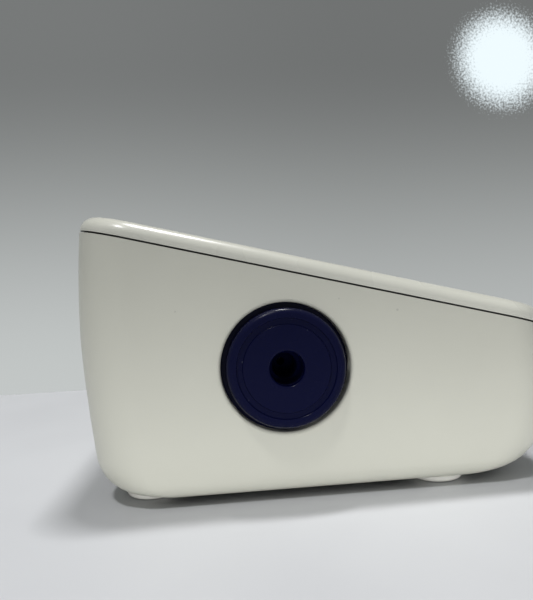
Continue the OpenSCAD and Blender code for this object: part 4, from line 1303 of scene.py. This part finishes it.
def hose(name, node, path, outer=2.7, bore=1.72, turns=28, soft=0.12):
    """An open hose along points, with rounded rims at both ends."""
    upright = abs((path[1] - path[0]).normalized().z) >= 0.9
    side = Vector((1, 0, 0)) if upright else Vector((0, 0, 1))

    def loop(at, ahead, r):
        up = ahead.cross(side)
        return [tuple(at + r * (c * side + s * up)) for c, s, _ in circle(1, 0, turns)]

    outside, inside = [], []
    for i, at in enumerate(path):
        ahead = (path[min(i + 1, len(path) - 1)] - path[max(i - 1, 0)]).normalized()
        side = (side - side.dot(ahead) * ahead).normalized()
        rim = soft if i in (0, len(path) - 1) else 0
        outside.append(loop(at, ahead, outer - rim))
        inside.append(loop(at, ahead, bore + rim))
        if i == 0 or i == len(path) - 2:
            step = (path[i + 1] - path[i]).normalized() * soft
            at = path[i] + step if i == 0 else path[-1] - step
            outside.append(loop(at, ahead, outer))
            inside.append(loop(at, ahead, bore))
    form = rings(outside + inside[::-1] + [outside[0]], False, False)
    piece = place(name, form, "console", "hose", 50, mend=True)
    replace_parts(piece, node)


def on_deck(x, y, v):
    """A point at height v above the seam plane, along the top's normal."""
    return deck(x, y, v).to_translation()


def plug_at(x, y):
    """Middle of the underside of a wire connector."""
    return on_deck(x, y, -12.65)


def up_deck(distance):
    """A step along the top's normal."""
    return deck().to_3x3() @ Vector((0, 0, distance))


class MONITOR_OT_air(bpy.types.Operator):
    """Hoses and manifold between socket, pump, valve and sensor"""

    bl_idname = "monitor.air"
    bl_label = "Air circuit"

    def execute(self, context):
        socket = settings()[1]
        y, z, end, x = socket.y, socket.z, -socket.reach + 14.8, MANIFOLD_X
        hose("socket_hose_tube", "socket_hose", smooth([
            (-62, y, z), (end + 0.5, y, z), (end + 4, y, z), (end + 7.2, y, z), (end + 9.9, y - 1.6, z - 0.5),
            (-46.2, 1, 27), (x, -5, 22), (x, -12, 16.5), (x, -14.5, 15), (x, -19.8, 15), (x, -26, 15)], 8))
        hose("pump_hose_tube", "pump_hose", smooth([
            (PUMP_X, -8, AIR_Z), (PUMP_X, -14.3, AIR_Z), (PUMP_X, -19.5, AIR_Z), (-32, -23.4, AIR_Z),
            (-36.5, -25, AIR_Z), (x + 3.7, -25, AIR_Z), (x, -25, AIR_Z)], 8))
        straight = [Vector((u, -34, AIR_Z)) for u in np.linspace(x + 3.7, -26, 12)]
        hose("valve_hose_tube", "valve_hose", straight)
        top = on_deck(x, -30, -10.4)
        y = on_deck(x, -30, -13.6).y
        hose("sensor_hose_tube", "sensor_hose", smooth(
            [(x, y, z) for z in (11, 18.7, 20.5, 22.3)]
            + [top + up_deck(v) for v in (-3.5, -1.8, 0, 2)], 6))
        refined("manifold", "white", soft=0.3)
        return {"FINISHED"}


class MONITOR_OT_leads(bpy.types.Operator):
    """Red and black wires from cells, motor and jack to the board"""

    bl_idname = "monitor.leads"
    bl_label = "Leads"

    def execute(self, context):
        x = (plug_at(12, -26) - Vector((1, 0, 0))).x
        self.pair("battery_leads", [(x, -14.8, 15), (x, -18.65, 15), (x, -21.6, 16.2), (x, -22.2, 20.5)],
                  (12, -26), 4.5)
        self.pair("motor_leads", [(-31, 39, 26), (-31, 42.05, 26), (-31.5, 46, 27.5), (-34, 46.6, 33),
                                  (-39.5, 42, 37.5)], (-43, 34), 4)
        back = box_of("power_jack")[0].y
        self.pair("jack_leads", [(-56, 40, 18.4), (-56, back - 0.05, 18.4), (-55, 32.5, 20.8),
                                 (-53.4, 26.5, 25.6), (-49, 17, 29.5), (-42.5, 13, 31.5)], (-40, 8), 3)
        return {"FINISHED"}

    def pair(self, node, waypoints, plug, rise):
        """Two wires side by side through waypoints and up into a connector."""
        end = plug_at(*plug) + Vector((-1, 0, 0))
        for k, look in enumerate(("wire red", "wire black")):
            path = smooth([Vector(w) + Vector((2 * k, 0, 0)) for w in
                           waypoints + [end - up_deck(rise), end, end + up_deck(4)]], 8)
            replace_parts(drawn(f"{node}_{look[5:]}", [path], 0.55, 14, "console", look), node)


# ---------------------------------------------------------------- board, pump and valve

class MONITOR_OT_board(bpy.types.Operator):
    """Circuit board with its parts"""

    bl_idname = "monitor.board"
    bl_label = "Board"

    def execute(self, context):
        refined("main_board", "board")
        refined("board_chips", "black", soft=0.15)
        refined("board_connectors", "white", soft=0.25)
        refined("tact_switches", "black", soft=0.15)
        refined("buzzer", "black", soft=0.35)
        refined("pressure_sensor", "black", soft=0.2)
        legs = []
        bend = ((-0.2, -7.4), (0.35, -7.4), (0.55, -6.78), (1.1, -6.74))
        for x, y, w, d, pitch in ((6, 2, 14, 14, 1.0), (28, 8, 6, 5, 1.27), (-14, -2, 7, 10, 1.27)):
            count = int((d - 1.5) / pitch) + 1
            for side in (1, -1):
                for k in range(count):
                    along = y + (k - (count - 1) / 2) * pitch
                    legs.append([tuple(deck() @ Vector((x + side * (w / 2 + out), along, v)))
                                 for out, v in bend])
        drawn("chip_legs", legs, 0.14, 4, "console", "steel")
        return {"FINISHED"}


class MONITOR_OT_pump(bpy.types.Operator):
    """Pump: motor can, rotor, head, cushion and clamp"""

    bl_idname = "monitor.pump"
    bl_label = "Pump"

    def execute(self, context):
        low, high = box_of("pump_motor")
        x, z = (low.x + high.x) / 2, (low.z + high.z) / 2
        r, length = (high.x - low.x) / 2, high.y - low.y - 2
        profile = [(1.06, 0), (r - 0.8, 0)] + arc(r - 0.8, 0.8, 0.8, -90, 0, 6)
        profile += [(r, 3.2), (r - 0.25, 3.4), (r - 0.25, 3.9), (r, 4.1), (r, length - 1.2),
                    (r - 0.3, length - 1), (r - 0.3, length - 0.3), (r - 0.6, length), (4.5, length),
                    (4.5, length + 1.7), (4.2, length + 2), (1.06, length + 2), (1.06, length - 2),
                    (r - 1.2, length - 2), (r - 1.2, 1.5), (1.06, 1.5)]
        form = moved(turned(profile + [profile[0]]), along_y(x, low.y, z))
        can = place("motor_can", form, "console", "steel", 30, mend=True)
        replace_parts(can, "pump_motor")
        refined("motor_rotor", "rotor", "pump_rotor", 0.2)
        refined("pump_head", "white", soft=0.5)
        refined("motor_cushion", "foam", soft=0.3)
        refined("pump_clamp", "steel", soft=0.2)
        return {"FINISHED"}


class MONITOR_OT_valve(bpy.types.Operator):
    """Exhaust valve: frame, coil, plunger and spring"""

    bl_idname = "monitor.valve"
    bl_label = "Valve"

    def execute(self, context):
        refined("valve_frame", "steel", soft=0.2)
        refined("valve_coil", "copper", soft=0.15)
        refined("valve_plunger", "steel", "valve_plunger", 0.2)
        low, high = box_of("valve_spring")
        x, y = (low.x + high.x) / 2, (low.y + high.y) / 2
        r, wire, whole = 2.9, 0.3, 8 * math.pi
        path = [(x + r * math.cos(a), y + r * math.sin(a),
                 low.z + wire + (high.z - low.z - 2 * wire) * a / whole) for a in np.linspace(0, whole, 161)]
        spring = drawn("valve_spring_wire", [path], wire, 10, "console", "steel")
        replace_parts(spring, "valve_spring")
        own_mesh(spring)
        return {"FINISHED"}


# ---------------------------------------------------------------- power

class MONITOR_OT_power(bpy.types.Operator):
    """Cells, contacts, battery door and power jack"""

    bl_idname = "monitor.power"
    bl_label = "Power"

    def execute(self, context):
        for k in range(4):
            self.cell(k)
        self.springs()
        refined("contact_plates", "brass", soft=0.12)
        refined("battery_door", "case ivory", "battery_door", 0.35)
        refined("power_jack", "black", soft=0.3)
        refined("power_jack_pin", "steel", soft=0.3)
        return {"FINISHED"}

    def cell(self, k):
        """One cell: sleeved can with rolled ends, cap and rim."""
        low, high = box_of(f"battery_{k + 1}")
        r, length = (high.x - low.x) / 2, high.y - low.y
        back = k % 2 == 1
        matrix = along_y((low.x + high.x) / 2, high.y if back else low.y, (low.z + high.z) / 2, back)
        sleeve = [(r - 1.1, 0.25), (r - 0.5, 0.05)] + arc(r - 0.5, 0.55, 0.5, -80, 0, 4)
        sleeve += arc(r - 0.5, length - 2, 0.5, 0, 80, 4) + [(r - 1.1, length - 1.7)]
        sleeve += [(r - 1.1, length - 2.2), (r - 1.1, 0.7), sleeve[0]]
        form = moved(turned(sleeve, 64), matrix)
        jacket = place(f"cell_{k + 1}_sleeve", form, "console", "cell", 35, mend=True)
        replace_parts(jacket, f"battery_{k + 1}")
        can = [(0, 0.0), (3.4, 0.0), (3.8, 0.3), (r - 1.3, 0.3), (r - 1.12, 0.6), (r - 1.12, length - 2.0),
               (r - 1.6, length - 1.75), (4.2, length - 1.75), (3.9, length - 1.5), (2.75, length - 1.4),
               (2.7, length - 0.35)] + arc(2.35, length - 0.35, 0.35, 0, 90, 4) + [(0, length)]
        form = moved(turned(can, 64), matrix)
        place(f"cell_{k + 1}_can", form, "console", "steel", 30)

    def springs(self):
        """Conical contact springs, one at the flat end of each cell, at the bay's front or rear wall."""
        paths = []
        low, high = box_of("battery_door")
        cell_r, pitch, angle = 7.25, 15.2, 22
        z = box_of("battery_1")[0].z + cell_r
        for k in range(4):
            x = (low.x + high.x) / 2 + (k - 1.5) * pitch
            wall, way = (-16.4, 1) if k % 2 == 0 else (39.8, -1)
            paths.append([(x + (4.8 - 1.7 * f) * math.cos(angle * f), wall + way * (0.4 + 3.6 * f),
                           z - way * (4.8 - 1.7 * f) * math.sin(angle * f))
                          for f in np.linspace(0, 34 / 35, 130)])
        springs = drawn("cell_springs", paths, 0.4, 10, "console", "steel")
        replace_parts(springs, "contact_springs")


# ---------------------------------------------------------------- screws

class MONITOR_OT_screws(bpy.types.Operator):
    """Case, board and clamp screws"""

    bl_idname = "monitor.screws"
    bl_label = "Screws"

    def execute(self, context):
        case = settings()[0]
        towers = [(x, y, seam_at(y) - 10.5) for x in (-TOWER_X, TOWER_X) for y in TOWER_Y]
        self.screws("case_screws", towers, 1.45, 10, 2.7, 1.9, 0.0)
        posts = [tuple(on_deck(x, y, -6.6)) for x in (-POST_X, POST_X) for y in POST_Y]
        self.screws("board_screws", posts, 1.0, 6.2, 2.2, 1.4, case.slope)
        clamp = [(-49.5, 26, 19.4), (-5.5, 26, 24.0)]
        self.screws("clamp_screws", clamp, 1.15, 3.2, 2.7, 1.9, math.pi)
        return {"FINISHED"}

    def screws(self, node, points, shank, length, head, rise, tilt):
        """Pan-head screws with ridged shanks and crossed recesses, one at each point."""
        recipe = Recipe(node, "steel", Shank=shank * MM, Length=length * MM, Head=head * MM,
                        Rise=rise * MM, Tilt=tilt, Pitch=1.1 * MM)
        shank_r, long, head_r, rise_h = (recipe.size(key) for key in ("Shank", "Length", "Head", "Rise"))
        start = recipe.node("CombineXYZ", {}, {"Z": rise_h * -1})
        stop = recipe.node("CombineXYZ", {}, {"Z": long})
        line = recipe.node("GeometryNodeCurvePrimitiveLine", {}, {"Start": start, "End": stop})
        line = recipe.node("GeometryNodeResampleCurve", {"mode": "COUNT"}, {"Curve": line, "Count": 110})
        point = recipe.node("GeometryNodeInputPosition", {}, {})
        at = recipe.node("SeparateXYZ", {}, {0: point}, 2)
        deep = at / recipe.size("Pitch")
        ridge = deep.maths("PINGPONG", deep, 0.5) * 0.32 + 0.84
        tip = (long - at) / (shank_r * 1.6)
        shaft = shank_r * ridge * tip.maths("MINIMUM", tip * 0.7 + 0.3, 1.0)
        dome = (at + rise_h) / rise_h
        crown = head_r * (dome.maths("MAXIMUM", dome * (2.0 - dome), 0.0) ** 0.35 * 0.5 + 0.5)
        shape = crown * (at < 0.0) + shaft * (at > 0.0)
        ring = recipe.node("GeometryNodeCurvePrimitiveCircle", {}, {"Resolution": 20, "Radius": 1.0})
        body = recipe.node("GeometryNodeCurveToMesh", {},
                           {"Curve": line, "Profile Curve": ring, "Scale": shape, "Fill Caps": True})
        arms = []
        for u, v in ((1.1, 0.3), (0.3, 1.1)):
            size = recipe.node("CombineXYZ", {}, {"X": head_r * u, "Y": head_r * v, "Z": rise_h * 1.2})
            arm = recipe.node("GeometryNodeMeshCube", {}, {"Size": size})
            arms.append(recipe.node("GeometryNodeTransform", {}, {"Geometry": arm, "Translation": start}))
        cut = recipe.node("GeometryNodeMeshBoolean", {"operation": "DIFFERENCE"},
                          {"Mesh 1": body, "Mesh 2": arms})
        turn = recipe.node("CombineXYZ", {}, {"X": recipe.size("Tilt")})
        points_in = recipe.size("Geometry")
        recipe.end(recipe.node("GeometryNodeInstanceOnPoints", {},
                               {"Points": points_in, "Instance": cut, "Rotation": turn}))
        piece = dress(recipe.make(node + "_set", (points, [])), "console", "steel", 35,
                      even=False)
        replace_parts(piece, node)


# ---------------------------------------------------------------- add-on

class MONITOR_PT_panel(bpy.types.Panel):
    """Buttons that build the monitor, and its sizes"""

    bl_label = "Monitor"
    bl_space_type = "VIEW_3D"
    bl_region_type = "UI"
    bl_category = "Monitor"

    def draw(self, context):
        for operator in OPERATORS:
            self.layout.operator(operator.bl_idname)
        for key, group in GROUPS.items():
            for name in group.__annotations__:
                self.layout.prop(getattr(context.scene, key), name)


GROUPS = {"case_settings": CaseSettings, "socket_settings": SocketSettings, "panel_settings": PanelSettings,
          "stage_settings": StageSettings}
OPERATORS = (MONITOR_OT_stage, MONITOR_OT_case, MONITOR_OT_cover, MONITOR_OT_socket, MONITOR_OT_feet,
             MONITOR_OT_display, MONITOR_OT_buttons, MONITOR_OT_board, MONITOR_OT_air, MONITOR_OT_pump,
             MONITOR_OT_valve, MONITOR_OT_power, MONITOR_OT_leads, MONITOR_OT_screws)


def register():
    for cls in (*GROUPS.values(), *OPERATORS, MONITOR_PT_panel):
        bpy.utils.register_class(cls)
    for key, group in GROUPS.items():
        setattr(bpy.types.Scene, key, PointerProperty(type=group))


def unregister():
    for key in GROUPS:
        delattr(bpy.types.Scene, key)
    for cls in (MONITOR_PT_panel, *reversed(OPERATORS), *GROUPS.values()):
        bpy.utils.unregister_class(cls)


def main():
    register()
    for operator in OPERATORS:
        group, name = operator.bl_idname.split(".")
        getattr(getattr(bpy.ops, group), name)()


if __name__ == "__main__":
    main()
